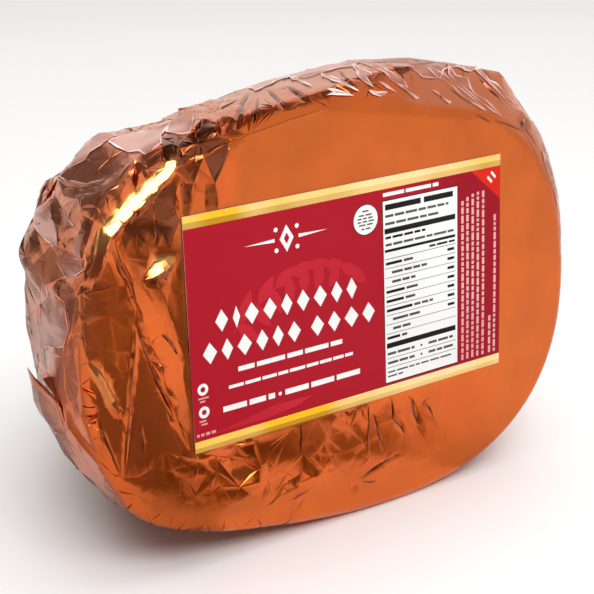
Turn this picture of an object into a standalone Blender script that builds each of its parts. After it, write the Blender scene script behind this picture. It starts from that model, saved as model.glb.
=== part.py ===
"""A half ham wrapped in foil, with a printed label on its flat cut face.

The foil pack is one closed body. Its cut face looks along -Y, its narrow end is gathered at +Y, and
it rests on a small flat spot of its underside. Lengths are metres and angles are degrees. Bearings
run anticlockwise round the cut face as seen from the front, from 0 at the right.
"""

import math

import bmesh
import bpy
import numpy as np

# --- The section just behind the cut face, measured from the label's centre ---
HALF_WIDTH = 0.1188
HALF_HEIGHT = 0.0900
SECTION_CENTRE = (0.0016, -0.0060)
SECTION_TILT = 0.9
SQUARENESS = 2.5
# A ham's section is a little three-cornered.
CORNERS = 3
CORNER_HEIGHT = 0.0031
CORNER_BEARING = 49.6
# Where the meat and the foil stand out from that oval: bearing, height, spread.
LOBES = (
    (40.0, 0.0035, 16.0),
    (150.0, 0.0080, 9.0),
    (210.0, 0.0040, 12.0),
    (250.0, -0.0015, 18.0),
    (318.0, 0.0025, 22.0),
)

# --- How the flat face turns over into the side wall: inset and depth of that rounded shoulder ---
RIM_INSET = 0.003
RIM_DEPTH = 0.004
SHOULDER_BEARING = 50.0
SHOULDER_SPREAD = 38.0
SHOULDER_INSET = 0.018
SHOULDER_DEPTH = 0.010
FOOT_BEARING = 285.0
FOOT_SPREAD = 52.0
FOOT_INSET = 0.005
FOOT_DEPTH = 0.013

# --- From the cut face back to the gathered end ---
LENGTH = 0.192
TAPER_START = 0.038
TAPER_POWER = 1.3
END_SCALE = 0.42
SPINE_DRIFT_X = 0.28
SPINE_DROP = 0.95
ROUND_START = 0.150
ROUND_POWER = 2.4

# --- Folds of the foil ---
# Dents between the folds of the wall: bearing, depth of the dent, spread, distance from the face.
DENTS = (
    (127.0, 0.0050, 7.0, 0.008),
    (172.0, 0.0050, 8.0, 0.010),
)
PLEATS = 26
PLEAT_HEIGHT = 0.0034
PLEAT_SPREAD = 4.0
PLEAT_START = 0.030
PLEAT_DRIFT = 220.0
CRUMPLE_HEIGHT = 0.0022
CRUMPLE_WAVES = 7
CRUMPLE_PITCH = (0.018, 0.042)
HOLLOW_DEPTH = 0.0030
HOLLOW_CREASES = 26
FLAP_BEARING = 183.0
FLAP_HEIGHT = 0.0030
FLAP_REACH = 0.050
SEED = 11

FLAT_SPOT = 0.0056

# --- The label: a paper sheet that stands a hair's breadth in front of the foil ---
LABEL_WIDTH = 0.152
LABEL_HEIGHT = 0.091
LABEL_THICKNESS = 0.0004
LABEL_CORNER = 0.0018
LABEL_GAP = 0.0003
LABEL_CENTRE_Z = -0.0005
CORNER_STEPS = 5

# --- Mesh ---
COLUMNS = 120
FACE_RINGS = (0.30, 0.50, 0.66, 0.78, 0.87, 0.94)
SHOULDER_RINGS = 5
WALL_RINGS = 19
CLOSING_RINGS = 7


def clear_scene():
    for leftover in list(bpy.data.objects):
        bpy.data.objects.remove(leftover)


def plain_material(name, colour, roughness, metallic):
    material = bpy.data.materials.new(name)
    material.use_nodes = True
    shader = material.node_tree.nodes["Principled BSDF"]
    shader.inputs["Base Color"].default_value = (*colour, 1.0)
    shader.inputs["Roughness"].default_value = roughness
    shader.inputs["Metallic"].default_value = metallic
    return material


def hill(bearing, centre, spread):
    """A smooth hill of height 1 at a bearing round the section."""
    away = (bearing - centre + 180.0) % 360.0 - 180.0
    return np.exp(-((away / spread) ** 2))


def ramp(value, low, high):
    """0 at low and before it, 1 from high on, smooth between. Low may be the larger."""
    t = np.clip((value - low) / (high - low), 0.0, 1.0)
    return t * t * (3.0 - 2.0 * t)


def section_radius(bearing):
    """Distance from the section's centre to the foil, just behind the shoulder."""
    turned = np.radians(bearing - SECTION_TILT)
    across = np.abs(np.cos(turned) / HALF_WIDTH) ** SQUARENESS
    upright = np.abs(np.sin(turned) / HALF_HEIGHT) ** SQUARENESS
    radius = (across + upright) ** (-1.0 / SQUARENESS)
    radius = radius + CORNER_HEIGHT * np.cos(CORNERS * np.radians(bearing - CORNER_BEARING))
    for centre, height, spread in LOBES:
        radius = radius + height * hill(bearing, centre, spread)
    return radius


def shoulder(bearing):
    """Inset and depth of the turn between face and wall: crisp along the top, soft at the foot."""
    broad = hill(bearing, SHOULDER_BEARING, SHOULDER_SPREAD)
    foot = hill(bearing, FOOT_BEARING, FOOT_SPREAD)
    inset = RIM_INSET + SHOULDER_INSET * broad + FOOT_INSET * foot
    depth = RIM_DEPTH + SHOULDER_DEPTH * broad + FOOT_DEPTH * foot
    return inset, depth


def pleats(bearing, depth):
    """Ridges of gathered foil, which grow and draw together towards the closed end."""
    chance = np.random.default_rng(SEED)
    relief = np.zeros_like(bearing)
    for index in range(PLEATS):
        centre = 360.0 * (index + chance.uniform(-0.35, 0.35)) / PLEATS
        start = PLEAT_START + chance.uniform(0.0, 0.05)
        drift = PLEAT_DRIFT * chance.uniform(-1.0, 1.0)
        height = PLEAT_HEIGHT * chance.uniform(0.4, 1.0)
        grown = ramp(depth, start, 0.8 * LENGTH)
        relief = relief + height * grown * hill(bearing, centre + drift * (depth - start), PLEAT_SPREAD)
    return relief


def crumple(bearing, depth):
    """Flat facets of crushed foil on the wall, deepest over the upper left."""
    chance = np.random.default_rng(SEED + 1)
    along = np.radians(bearing) * HALF_WIDTH
    relief = np.zeros_like(bearing)
    for _ in range(CRUMPLE_WAVES):
        slant = math.radians(chance.uniform(0.0, 180.0))
        pitch = chance.uniform(*CRUMPLE_PITCH)
        phase = chance.uniform(0.0, 2.0)
        travel = (along * math.cos(slant) + depth * math.sin(slant)) / pitch + phase
        relief = relief + np.abs(travel % 2.0 - 1.0) - 0.5
    crushed = 0.25 + 0.75 * hill(bearing, 152.0, 32.0)
    seam = ramp(bearing, 0.0, 8.0) * ramp(bearing, 360.0, 352.0)
    return CRUMPLE_HEIGHT * relief / CRUMPLE_WAVES**0.5 * crushed * seam * ramp(depth, 0.003, 0.02)


def folds(bearing, depth):
    """All relief on the wall: pleats, crushed facets, two dents and the loose flap on the left."""
    relief = pleats(bearing, depth) + crumple(bearing, depth)
    for centre, dent, spread, start in DENTS:
        fading = ramp(depth, start, start + 0.015) * ramp(depth, 0.11, 0.07)
        relief = relief - dent * hill(bearing, centre, spread) * fading
    flap = ramp(depth, 0.001, 0.010) * ramp(depth, FLAP_REACH, 0.5 * FLAP_REACH)
    return relief + FLAP_HEIGHT * hill(bearing, FLAP_BEARING, 5.0) * flap


def face_hollow(x, z):
    """How far the loose foil left of and below the label sinks into the face, in flat facets."""
    across = (x + 0.010) / 0.106
    upright = (z + 0.002) / 0.074
    outward = np.hypot(across, upright)
    bearing = np.degrees(np.arctan2(upright, across)) % 360.0
    chance = np.random.default_rng(SEED + 2)
    crease_at = np.sort(chance.uniform(110.0, 330.0, HOLLOW_CREASES))
    crease_height = chance.uniform(0.2, 1.0, HOLLOW_CREASES)
    facets = np.interp(bearing, crease_at, crease_height)
    loose = ramp(bearing, 118.0, 140.0) * ramp(bearing, 318.0, 285.0)
    beyond_label = np.maximum(np.abs(x) - LABEL_WIDTH / 2, np.abs(z) - LABEL_HEIGHT / 2)
    return HOLLOW_DEPTH * facets * loose * ramp(outward, 1.0, 0.86) * ramp(beyond_label, 0.0, 0.010)


def spine(scale):
    """The section's centre where it has shrunk to a scale: the underside stays near the table."""
    shrunk = 1.0 - scale
    return (
        SECTION_CENTRE[0] + SPINE_DRIFT_X * shrunk * HALF_WIDTH,
        SECTION_CENTRE[1] - SPINE_DROP * shrunk * HALF_HEIGHT,
    )


def ring(bearing, radius, depth, scale=1.0):
    """One closed ring of points round the spine."""
    centre_x, centre_z = spine(scale)
    turned = np.radians(bearing)
    x = centre_x + radius * np.cos(turned)
    z = centre_z + radius * np.sin(turned)
    return np.stack([x, depth + np.zeros_like(bearing), z], axis=1)


def wall_ring(bearing, depth):
    """One ring of the side wall, at a depth behind the face."""
    gone = max(0.0, (depth - TAPER_START) / (LENGTH - TAPER_START))
    scale = 1.0 - (1.0 - END_SCALE) * gone**TAPER_POWER
    rounded = max(0.0, (depth - ROUND_START) / (LENGTH - ROUND_START))
    closing = max(0.0, 1.0 - rounded**ROUND_POWER) ** (1.0 / ROUND_POWER)
    radius = (section_radius(bearing) * scale + folds(bearing, depth)) * closing
    return ring(bearing, radius, depth, scale)


def pack_rings():
    """Every ring of points, from the middle of the face over the shoulder and down the wall."""
    bearing = np.arange(COLUMNS) * 360.0 / COLUMNS
    full = section_radius(bearing)
    inset, turn_depth = shoulder(bearing)
    rings = []
    for part in FACE_RINGS:
        flat = ring(bearing, (full - inset) * part, 0.0)
        flat[:, 1] = face_hollow(flat[:, 0], flat[:, 2])
        rings.append(flat)
    for turn in np.linspace(0.0, math.pi / 2, SHOULDER_RINGS):
        radius = full - inset * (1.0 - math.sin(turn))
        rings.append(ring(bearing, radius, turn_depth * (1.0 - math.cos(turn))))
    wall_start = turn_depth.max()
    for depth in np.linspace(wall_start, ROUND_START, WALL_RINGS + 1)[1:]:
        rings.append(wall_ring(bearing, depth))
    for step in range(1, CLOSING_RINGS):
        turn = 0.5 * math.pi * step / CLOSING_RINGS
        rings.append(wall_ring(bearing, ROUND_START + (LENGTH - ROUND_START) * math.sin(turn)))
    return rings


def press_flat_spot(shape):
    """Presses the underside level, so that the pack stands on a small flat spot."""
    table = min(vert.co.z for vert in shape.verts) + FLAT_SPOT
    for vert in shape.verts:
        vert.co.z = max(vert.co.z, table)


def mesh_from(shape, name):
    bmesh.ops.recalc_face_normals(shape, faces=shape.faces)
    mesh = bpy.data.meshes.new(name)
    shape.to_mesh(mesh)
    shape.free()
    return mesh


def pack_mesh(name):
    rings = pack_rings()
    shape = bmesh.new()
    loops = [[shape.verts.new(point) for point in points] for points in rings]
    middle = shape.verts.new((SECTION_CENTRE[0], 0.0, SECTION_CENTRE[1]))
    end_x, end_z = spine(END_SCALE)
    gather = shape.verts.new((end_x, LENGTH, end_z))
    for column in range(COLUMNS):
        after = (column + 1) % COLUMNS
        shape.faces.new((middle, loops[0][column], loops[0][after]))
        shape.faces.new((gather, loops[-1][after], loops[-1][column]))
        for inner, outer in zip(loops, loops[1:]):
            shape.faces.new((inner[column], outer[column], outer[after], inner[after]))
    press_flat_spot(shape)
    bmesh.ops.triangulate(shape, faces=shape.faces)
    return mesh_from(shape, name)


def label_mesh(name):
    """The label's sheet: a thin plate with its corners rounded off."""
    corners = ((1, 1), (-1, 1), (-1, -1), (1, -1))
    outline = []
    for quarter, (side_x, side_z) in enumerate(corners):
        for turn in np.linspace(0.0, math.pi / 2, CORNER_STEPS) + quarter * math.pi / 2:
            x = side_x * (LABEL_WIDTH / 2 - LABEL_CORNER) + LABEL_CORNER * math.cos(turn)
            z = side_z * (LABEL_HEIGHT / 2 - LABEL_CORNER) + LABEL_CORNER * math.sin(turn)
            outline.append((x, -LABEL_GAP, z + LABEL_CENTRE_Z))
    shape = bmesh.new()
    sheet = shape.faces.new([shape.verts.new(point) for point in outline])
    pulled = bmesh.ops.extrude_face_region(shape, geom=[sheet])
    front = [item for item in pulled["geom"] if isinstance(item, bmesh.types.BMVert)]
    bmesh.ops.translate(shape, verts=front, vec=(0.0, -LABEL_THICKNESS, 0.0))
    return mesh_from(shape, name)


def add_object(name, mesh, material):
    piece = bpy.data.objects.new(name, mesh)
    piece.data.materials.append(material)
    bpy.context.scene.collection.objects.link(piece)
    return piece


def stand_on_origin(pieces):
    """Moves every mesh so that the whole stands at height 0 with its box centred on the origin."""
    corners = np.array([vert.co for piece in pieces for vert in piece.data.vertices])
    low, high = corners.min(axis=0), corners.max(axis=0)
    shift = np.array([-(low[0] + high[0]) / 2, -(low[1] + high[1]) / 2, -low[2]])
    for piece in pieces:
        for vert in piece.data.vertices:
            vert.co = np.array(vert.co) + shift
    print("moved by", shift.round(5))


clear_scene()
foil = plain_material("copper foil", (0.62, 0.20, 0.05), 0.30, 0.85)
paper = plain_material("printed paper", (0.50, 0.015, 0.03), 0.35, 0.0)
pack = add_object("foil_pack", pack_mesh("foil_pack"), foil)
label = add_object("label", label_mesh("label"), paper)
stand_on_origin([pack, label])
pack.data.shade_smooth()
pack.data.set_sharp_from_angle(angle=math.radians(28))
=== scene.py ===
"""A half ham shut in copper foil under clear film, with a printed label stuck on its cut face."""

import math

import bpy
import mathutils
import numpy as np
from mathutils.bvhtree import BVHTree
from mathutils.geometry import delaunay_2d_cdt
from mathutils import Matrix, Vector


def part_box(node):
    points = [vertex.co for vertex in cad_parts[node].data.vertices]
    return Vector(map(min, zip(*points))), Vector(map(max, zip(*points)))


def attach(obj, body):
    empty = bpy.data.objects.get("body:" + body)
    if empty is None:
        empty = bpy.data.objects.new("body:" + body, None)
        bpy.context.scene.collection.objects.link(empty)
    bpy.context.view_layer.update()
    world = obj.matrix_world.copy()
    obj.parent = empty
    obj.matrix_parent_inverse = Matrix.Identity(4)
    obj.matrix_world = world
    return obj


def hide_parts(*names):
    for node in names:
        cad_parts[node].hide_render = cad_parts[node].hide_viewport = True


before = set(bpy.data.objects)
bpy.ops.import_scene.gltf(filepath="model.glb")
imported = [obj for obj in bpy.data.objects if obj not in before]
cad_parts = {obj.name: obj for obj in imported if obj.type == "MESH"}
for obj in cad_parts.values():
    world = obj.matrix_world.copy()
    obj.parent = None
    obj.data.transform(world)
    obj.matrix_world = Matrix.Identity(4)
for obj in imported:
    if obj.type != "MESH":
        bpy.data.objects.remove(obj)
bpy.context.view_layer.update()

# --- The camera ---
# A longish lens on a stand, to the left of the pack and a little above it. It looks down at the
# cut face with a slight lean to one side. The middle of that face is where all else is measured from.
MM = 0.001
label_low, label_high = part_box("label")
FACE = np.array([(label_low.x + label_high.x) / 2, label_high.y + 0.3 * MM,
                 (label_low.z + label_high.z) / 2 + 0.5 * MM])
CAMERA_FROM_FACE = (-0.33211, -0.44154, 0.17445)
CAMERA_AZIMUTH, CAMERA_ELEVATION, CAMERA_ROLL = 34.6158, 17.5202, -2.0984
CAMERA_FIELD = 2 * math.atan(297 / 1480)


def put_in_scene(name, data):
    thing = bpy.data.objects.new(name, data)
    bpy.context.scene.collection.objects.link(thing)
    return thing


camera_data = bpy.data.cameras.new("camera")
camera_data.angle = CAMERA_FIELD
camera = put_in_scene("camera", camera_data)
turn = mathutils.Euler((math.radians(90 - CAMERA_ELEVATION), 0, -math.radians(CAMERA_AZIMUTH)), "XYZ")
roll = mathutils.Matrix.Rotation(math.radians(CAMERA_ROLL), 4, "Z")
camera.matrix_world = mathutils.Matrix.Translation(FACE + CAMERA_FROM_FACE) @ turn.to_matrix().to_4x4() @ roll
bpy.context.scene.camera = camera


# --- The table and the light ---
# White paper lies under the pack, one big soft box hangs high in front of it and a ceiling lamp
# lifts the shadows. The rest of the studio is only seen in the foil: pale walls, and a dark ceiling.
WHITE_PAPER = (0.92, 0.92, 0.92)
bpy.context.scene.view_settings.view_transform = "Standard"


def set_inputs(node, **values):
    """Sets a node's sockets by name, an underscore standing for a space."""
    for name, value in values.items():
        node.inputs[name.replace("_", " ")].default_value = value


def plain_finish(name, colour, roughness):
    made = bpy.data.materials.new(name)
    made.use_nodes = True
    set_inputs(made.node_tree.nodes["Principled BSDF"], Base_Color=(*colour, 1), Roughness=roughness)
    return made


def flat_sheet(name, corners, finish, faces=None):
    mesh = bpy.data.meshes.new(name)
    mesh.from_pydata(corners, [], faces or [tuple(range(len(corners)))])
    mesh.materials.append(finish)
    sheet = put_in_scene(name, mesh)
    return sheet


def soft_box(name, place, aim, size, radiance):
    lamp = bpy.data.lights.new(name, "AREA")
    lamp.shape, lamp.size, lamp.size_y = "RECTANGLE", *size
    lamp.energy = radiance * math.pi * size[0] * size[1]
    holder = put_in_scene(name, lamp)
    holder.location = place
    pointing = mathutils.Vector(aim) - mathutils.Vector(place)
    holder.rotation_euler = pointing.to_track_quat("-Z", "Y").to_euler()
    return holder


def add_node(tree, kind, **values):
    node = tree.nodes.new(kind)
    set_inputs(node, **values)
    return node


def join(tree, source, target):
    """Sets a socket to a fixed value, or links it to another node's output."""
    if isinstance(source, bpy.types.NodeSocket):
        tree.links.new(source, target)
    else:
        target.default_value = (*source, 1) if isinstance(source, tuple) else source


def smooth_step(tree, source, low, high):
    """0 up to low and 1 from high on, or the other way round where low is the larger."""
    node = add_node(tree, "ShaderNodeMapRange", From_Min=low, From_Max=high)
    node.interpolation_type = "SMOOTHSTEP"
    tree.links.new(source, node.inputs["Value"])
    return node.outputs[0]


def even_step(tree, source, low, high, at_low=0.0, at_high=1.0):
    node = add_node(tree, "ShaderNodeMapRange", From_Min=low, From_Max=high, To_Min=at_low, To_Max=at_high)
    tree.links.new(source, node.inputs["Value"])
    return node.outputs[0]


def reckon(tree, operation, *values):
    node = tree.nodes.new("ShaderNodeMath")
    node.operation = operation
    for value, socket in zip(values, node.inputs):
        join(tree, value, socket)
    return node.outputs[0]


def times(tree, first, second):
    return reckon(tree, "MULTIPLY", first, second)


def mixed(tree, factor, first, second, blend="MIX"):
    node = tree.nodes.new("ShaderNodeMix")
    node.data_type, node.blend_type = "RGBA", blend
    for number, value in ((0, factor), (6, first), (7, second)):
        join(tree, value, node.inputs[number])
    return node.outputs[2]


def cloudy(tree, at, scale, detail):
    """Soft uneven patches, darker and lighter."""
    cloud = add_node(tree, "ShaderNodeTexNoise", Scale=scale, Detail=detail)
    tree.links.new(at, cloud.inputs["Vector"])
    return cloud.outputs["Fac"]


def bumpy(tree, height, strength, distance, under=None):
    """A surface raised where height is greater, over any bumps that lie under it."""
    bump = add_node(tree, "ShaderNodeBump", Strength=strength, Distance=distance)
    tree.links.new(height, bump.inputs["Height"])
    if under is not None:
        tree.links.new(under, bump.inputs["Normal"])
    return bump.outputs[0]


floor_corners = [(-4, -4, 0), (4, -4, 0), (4, 4, 0), (-4, 4, 0)]
flat_sheet("floor", floor_corners, plain_finish("white paper", WHITE_PAPER, 0.9))
soft_box("front soft box", (-0.25, -0.90, 0.85), (0, -0.1, 0.08), (0.72, 0.48), 7.0)
soft_box("ceiling fill", (0, 0.5, 3.0), (0, 0.3, 0), (5.0, 5.0), 1.4).visible_glossy = False

studio = bpy.data.worlds.new("studio")
bpy.context.scene.world = studio
studio.use_nodes = True
room = studio.node_tree
room.nodes.clear()
WARM_WALL, COOL_WALL, DARK_WALL = (0.90, 0.86, 0.78), (0.95, 0.95, 0.97), (0.20, 0.19, 0.19)
looking = add_node(room, "ShaderNodeSeparateXYZ")
room.links.new(room.nodes.new("ShaderNodeTexCoord").outputs["Generated"], looking.inputs[0])
east, north, up = looking.outputs
low_right = times(room, smooth_step(room, up, 0.40, 0.24), smooth_step(room, east, 0.10, 0.40))
high_right = times(room, smooth_step(room, up, 0.85, 0.70), smooth_step(room, east, 0.28, 0.50))
high_left = times(room, smooth_step(room, up, 0.10, 0.32), smooth_step(room, east, 0.22, -0.08))
front_wall = mixed(room, low_right, (0.115, 0.11, 0.105), (0.80, 0.78, 0.75))
front_wall = mixed(room, high_right, front_wall, (0.76, 0.74, 0.71))
back_wall = mixed(room, smooth_step(room, up, 0.42, 0.62), WARM_WALL, COOL_WALL)
back_wall = mixed(room, high_left, back_wall, DARK_WALL)
back_wall = mixed(room, smooth_step(room, up, 0.66, 0.82), back_wall, DARK_WALL)
walls = mixed(room, smooth_step(room, north, 0.0, 0.2), front_wall, back_wall)
chooser = room.nodes.new("ShaderNodeMixShader")
room.links.new(room.nodes.new("ShaderNodeLightPath").outputs["Is Camera Ray"], chooser.inputs[0])
for number, glow_colour in ((1, walls), (2, (1.0, 1.0, 1.0))):
    glow = room.nodes.new("ShaderNodeBackground")
    join(room, glow_colour, glow.inputs["Color"])
    room.links.new(glow.outputs[0], chooser.inputs[number])
room.links.new(chooser.outputs[0], room.nodes.new("ShaderNodeOutputWorld").inputs["Surface"])


# --- The card round the pack ---
# A wide ring of card lies on the paper, painted dark and light by turns, as is done for a foil
# pack: it isn't seen itself, but the sheet's creases mirror it. Close before the pack it is darkest,
# and near the pack it is a little darker all round: painted shade for the floor's shade by its foot.
RING_MIDDLE, RING_INNER, RING_OUTER, CARD_HEIGHT = (0, -0.09, 0), 0.06, 1.6, 1.5 * MM
CARD_TONES = (
    (-180, 0.30), (-170, 0.30), (-160, 0.65), (-152, 0.70), (-146, 0.26), (-134, 0.26), (-126, 0.74),
    (-120, 0.74), (-114, 0.42), (-104, 0.42), (-96, 0.65), (-74, 0.70), (-45, 0.70), (-32, 0.15),
    (11, 0.15), (25, 0.83), (38, 0.84), (60, 0.80), (170, 0.70), (180, 0.30),
)
card_corners = []
for azimuth in range(0, 361, 5):
    for reach in (RING_INNER, RING_OUTER):
        a = math.radians(azimuth)
        card_corners.append((reach * math.sin(a), RING_MIDDLE[1] - reach * math.cos(a), CARD_HEIGHT))
card_faces = [(2 * n, 2 * n + 1, 2 * n + 3, 2 * n + 2) for n in range(72)]
card_finish = plain_finish("graded card", (0.1, 0.1, 0.1), 1.0)
card = card_finish.node_tree
on_card = card.nodes.new("ShaderNodeTexCoord").outputs["Object"]
card_place = card.nodes.new("ShaderNodeSeparateXYZ")
card.links.new(on_card, card_place.inputs[0])
forward = reckon(card, "MULTIPLY_ADD", card_place.outputs["Y"], -1.0, RING_MIDDLE[1])
card_azimuth = reckon(card, "ARCTAN2", card_place.outputs["X"], forward)
part_round = even_step(card, card_azimuth, -math.pi, math.pi)


def as_part(azimuth):
    """How much of the way round the ring an azimuth in degrees is."""
    return (azimuth + 180) / 360


card_ramp = card.nodes.new("ShaderNodeValToRGB")
card_ramp.color_ramp.interpolation = "EASE"
for _ in range(len(CARD_TONES) - 2):
    card_ramp.color_ramp.elements.new(0.5)
for element, (azimuth, tone) in zip(card_ramp.color_ramp.elements, CARD_TONES):
    element.position = as_part(azimuth)
    element.color = (tone, tone * 0.95, tone * 0.91, 1)
card.links.new(part_round, card_ramp.inputs[0])
card_reach = card.nodes.new("ShaderNodeVectorMath")
card_reach.operation, card_reach.inputs[1].default_value = "DISTANCE", RING_MIDDLE
card.links.new(on_card, card_reach.inputs[0])
card_reach = card_reach.outputs["Value"]
# Painted shade: a dark ring close before the pack, and a lighter darkening all round near it.
PAINTED_SHADE_STARTS, PAINTED_SHADE_ENDS, NEAR_SHADE_PART = (0.015, 0.055), (0.118, 0.088), (0.12, 0.06)
PAINTED_SHADE_TONE, NEAR_SHADE_TONE = 0.2, 0.78
painted_shade_ring = times(card, smooth_step(card, card_reach, *PAINTED_SHADE_STARTS),
                  smooth_step(card, card_reach, *PAINTED_SHADE_ENDS))
before_pack = times(card, smooth_step(card, part_round, as_part(-40), as_part(-30)),
                    smooth_step(card, part_round, as_part(56), as_part(46)))
card_painted_shade = times(card, even_step(card, times(card, painted_shade_ring, before_pack), 0, 1, 1.0, PAINTED_SHADE_TONE),
                   even_step(card, smooth_step(card, card_reach, *NEAR_SHADE_PART), 0, 1, 1.0, NEAR_SHADE_TONE))
card_shade = mixed(card, 1.0, card_ramp.outputs[0], card_painted_shade, "MULTIPLY")
card.links.new(card_shade, card.nodes["Principled BSDF"].inputs["Base Color"])
graded_card = flat_sheet("graded card", card_corners, card_finish, card_faces)
graded_card.visible_camera = graded_card.visible_diffuse = graded_card.visible_shadow = False
graded_card.visible_transmission = graded_card.visible_volume_scatter = False


# --- The ham under the foil ---
# A half ham lying on its side, cut flat across: an oval cut face with its bone end behind. The foil
# is wrapped round this even form, and a place on it is given by where it lies on the flat sheet.
HALF_WIDTH, HALF_HEIGHT = 118.8 * MM, 90.0 * MM
SECTION_CENTRE = np.array([1.6, -6.0]) * MM
SECTION_TILT, SQUARENESS = 0.9, 2.5
CORNER_HEIGHT, CORNER_BEARING = 3.1 * MM, 49.6
LOBES = ((40, 3.5, 16), (150, 8.0, 9), (210, 4.0, 12), (250, -1.5, 18), (318, 2.5, 22))
LENGTH, TAPER_START, TAPER_POWER, END_SCALE = 192 * MM, 38 * MM, 1.3, 0.42
SPINE_DRIFT_X, SPINE_DROP = 0.28, 0.95
ROUND_START, ROUND_POWER = 150 * MM, 2.4
WALL_END = 100 * MM
FACE_RINGS, TABLE_COLUMNS, TABLE_STEP = 120, 720, 0.5 * MM


def hill(bearing, centre, spread):
    """A smooth rise to 1 at one bearing, in degrees round the face."""
    away = (bearing - centre + 180.0) % 360.0 - 180.0
    return np.exp(-((away / spread) ** 2))


def ramp(value, low, high):
    """0 up to low and 1 from high on, or the other way round where low is the larger."""
    t = np.clip((value - low) / (high - low), 0.0, 1.0)
    return t * t * (3.0 - 2.0 * t)


def section_radius(bearing):
    """How far the ham's outline reaches from its middle at each bearing."""
    turned = np.radians(bearing - SECTION_TILT)
    across = np.abs(np.cos(turned) / HALF_WIDTH) ** SQUARENESS
    upright = np.abs(np.sin(turned) / HALF_HEIGHT) ** SQUARENESS
    radius = (across + upright) ** (-1.0 / SQUARENESS)
    radius = radius + CORNER_HEIGHT * np.cos(3 * np.radians(bearing - CORNER_BEARING))
    for centre, height, spread in LOBES:
        radius = radius + height * MM * hill(bearing, centre, spread)
    return radius


def smooth_pack():
    """The ham's even form, as a table of places by bearing and by distance along the foil."""
    bearing = np.arange(TABLE_COLUMNS) * 360.0 / TABLE_COLUMNS
    turned = np.radians(bearing)
    full = section_radius(bearing)
    broad, foot = hill(bearing, 50, 38), hill(bearing, 285, 52)
    inset = (3 + 18 * broad + 5 * foot) * MM
    shoulder = (4 + 10 * broad + 13 * foot) * MM
    rings = []

    def add_ring(radius, depth, scale):
        centre_x = SECTION_CENTRE[0] + SPINE_DRIFT_X * (1 - scale) * HALF_WIDTH
        centre_z = SECTION_CENTRE[1] - SPINE_DROP * (1 - scale) * HALF_HEIGHT
        x = centre_x + radius * np.cos(turned)
        z = centre_z + radius * np.sin(turned)
        rings.append(np.stack([x, depth + np.zeros_like(x), z], axis=1))

    def shrink(depth):
        gone = np.clip((depth - TAPER_START) / (LENGTH - TAPER_START), 0, 1)
        return 1 - (1 - END_SCALE) * gone**TAPER_POWER

    for part in np.linspace(0, 1, FACE_RINGS):
        add_ring((full - inset) * part, 0.0, 1.0)
    for turn in np.linspace(0, math.pi / 2, 40)[1:]:
        # Upper right the edge of the face is crisp: there the shoulder is nearer a chamfer.
        part, crisp = 2 * turn / math.pi, 0.75 * np.sqrt(broad)
        outward = math.sin(turn) + crisp * (part - math.sin(turn))
        depth = 1 - math.cos(turn) + crisp * (part - 1 + math.cos(turn))
        add_ring(full - inset * (1 - outward), shoulder * depth, 1.0)
    for step in np.linspace(0, 1, 160)[1:]:
        depth = shoulder + (WALL_END - shoulder) * step
        add_ring(full * shrink(depth), depth, shrink(depth))
    for turn in np.linspace(0, math.pi / 2, 160)[1:]:
        depth = WALL_END + (LENGTH - WALL_END) * math.sin(turn)
        rounded = max(0.0, (depth - ROUND_START) / (LENGTH - ROUND_START))
        closing = max(0.0, 1 - rounded**ROUND_POWER) ** (1 / ROUND_POWER)
        add_ring(full * shrink(depth) * closing, depth, shrink(depth))
    rings = np.array(rings)
    travelled = np.linalg.norm(np.diff(rings, axis=0), axis=2).cumsum(axis=0)
    travelled = np.concatenate([np.zeros((1, TABLE_COLUMNS)), travelled])
    rows = np.arange(0, travelled[-1].max() + TABLE_STEP, TABLE_STEP)
    places = np.empty((len(rows), TABLE_COLUMNS, 3))
    for column in range(TABLE_COLUMNS):
        for axis in range(3):
            places[:, column, axis] = np.interp(rows, travelled[:, column], rings[:, column, axis])
    return places, travelled[FACE_RINGS - 1], travelled[-1]


pack_table, face_reach, whole_reach = smooth_pack()
table_round = np.roll(pack_table, -1, axis=1) - np.roll(pack_table, 1, axis=1)
table_down = np.gradient(pack_table, axis=0)
table_normal = np.cross(table_down, table_round)
table_normal[:3] = (0, -1, 0)
table_normal /= np.maximum(np.linalg.norm(table_normal, axis=2, keepdims=True), 1e-12)


def read_table(table, spots):
    """Bilinear reading of a table at places on the flat sheet."""
    away = spots - SECTION_CENTRE
    column = np.arctan2(away[:, 1], away[:, 0]) / (2 * math.pi) * TABLE_COLUMNS % TABLE_COLUMNS
    row = np.clip(np.hypot(away[:, 0], away[:, 1]) / TABLE_STEP, 0, len(table) - 1.001)
    c, r = column.astype(int) % TABLE_COLUMNS, row.astype(int)
    fc, fr = (column - np.floor(column))[:, None], (row - r)[:, None]
    after = (c + 1) % TABLE_COLUMNS
    near = table[r, c] * (1 - fc) + table[r, after] * fc
    far = table[r + 1, c] * (1 - fc) + table[r + 1, after] * fc
    return near * (1 - fr) + far * fr


def read_outward(spots):
    """The way out of the ham's even form at places on the flat sheet."""
    way = read_table(table_normal, spots)
    return way / np.linalg.norm(way, axis=1, keepdims=True)


def read_round(reaches, bearing):
    """Reads a reach that is given all round the face, at any bearing from 0 to 360 degrees."""
    wrapped = np.arange(TABLE_COLUMNS + 1) * 360.0 / TABLE_COLUMNS
    return np.interp(bearing, wrapped, np.append(reaches, reaches[0]))


def polar(spots):
    """Bearing in degrees, distance past the face's edge, and the distance left to the tip."""
    away = spots - SECTION_CENTRE
    bearing = np.degrees(np.arctan2(away[:, 1], away[:, 0])) % 360.0
    reach = np.hypot(away[:, 0], away[:, 1])
    return bearing, reach - read_round(face_reach, bearing), read_round(whole_reach, bearing) - reach


def from_polar(bearing, past):
    """Places on the flat sheet at a bearing and a distance past the face's edge."""
    turned = np.radians(bearing)
    reach = read_round(face_reach, bearing % 360) + past
    return SECTION_CENTRE + reach[:, None] * np.stack([np.cos(turned), np.sin(turned)], axis=1)


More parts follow.
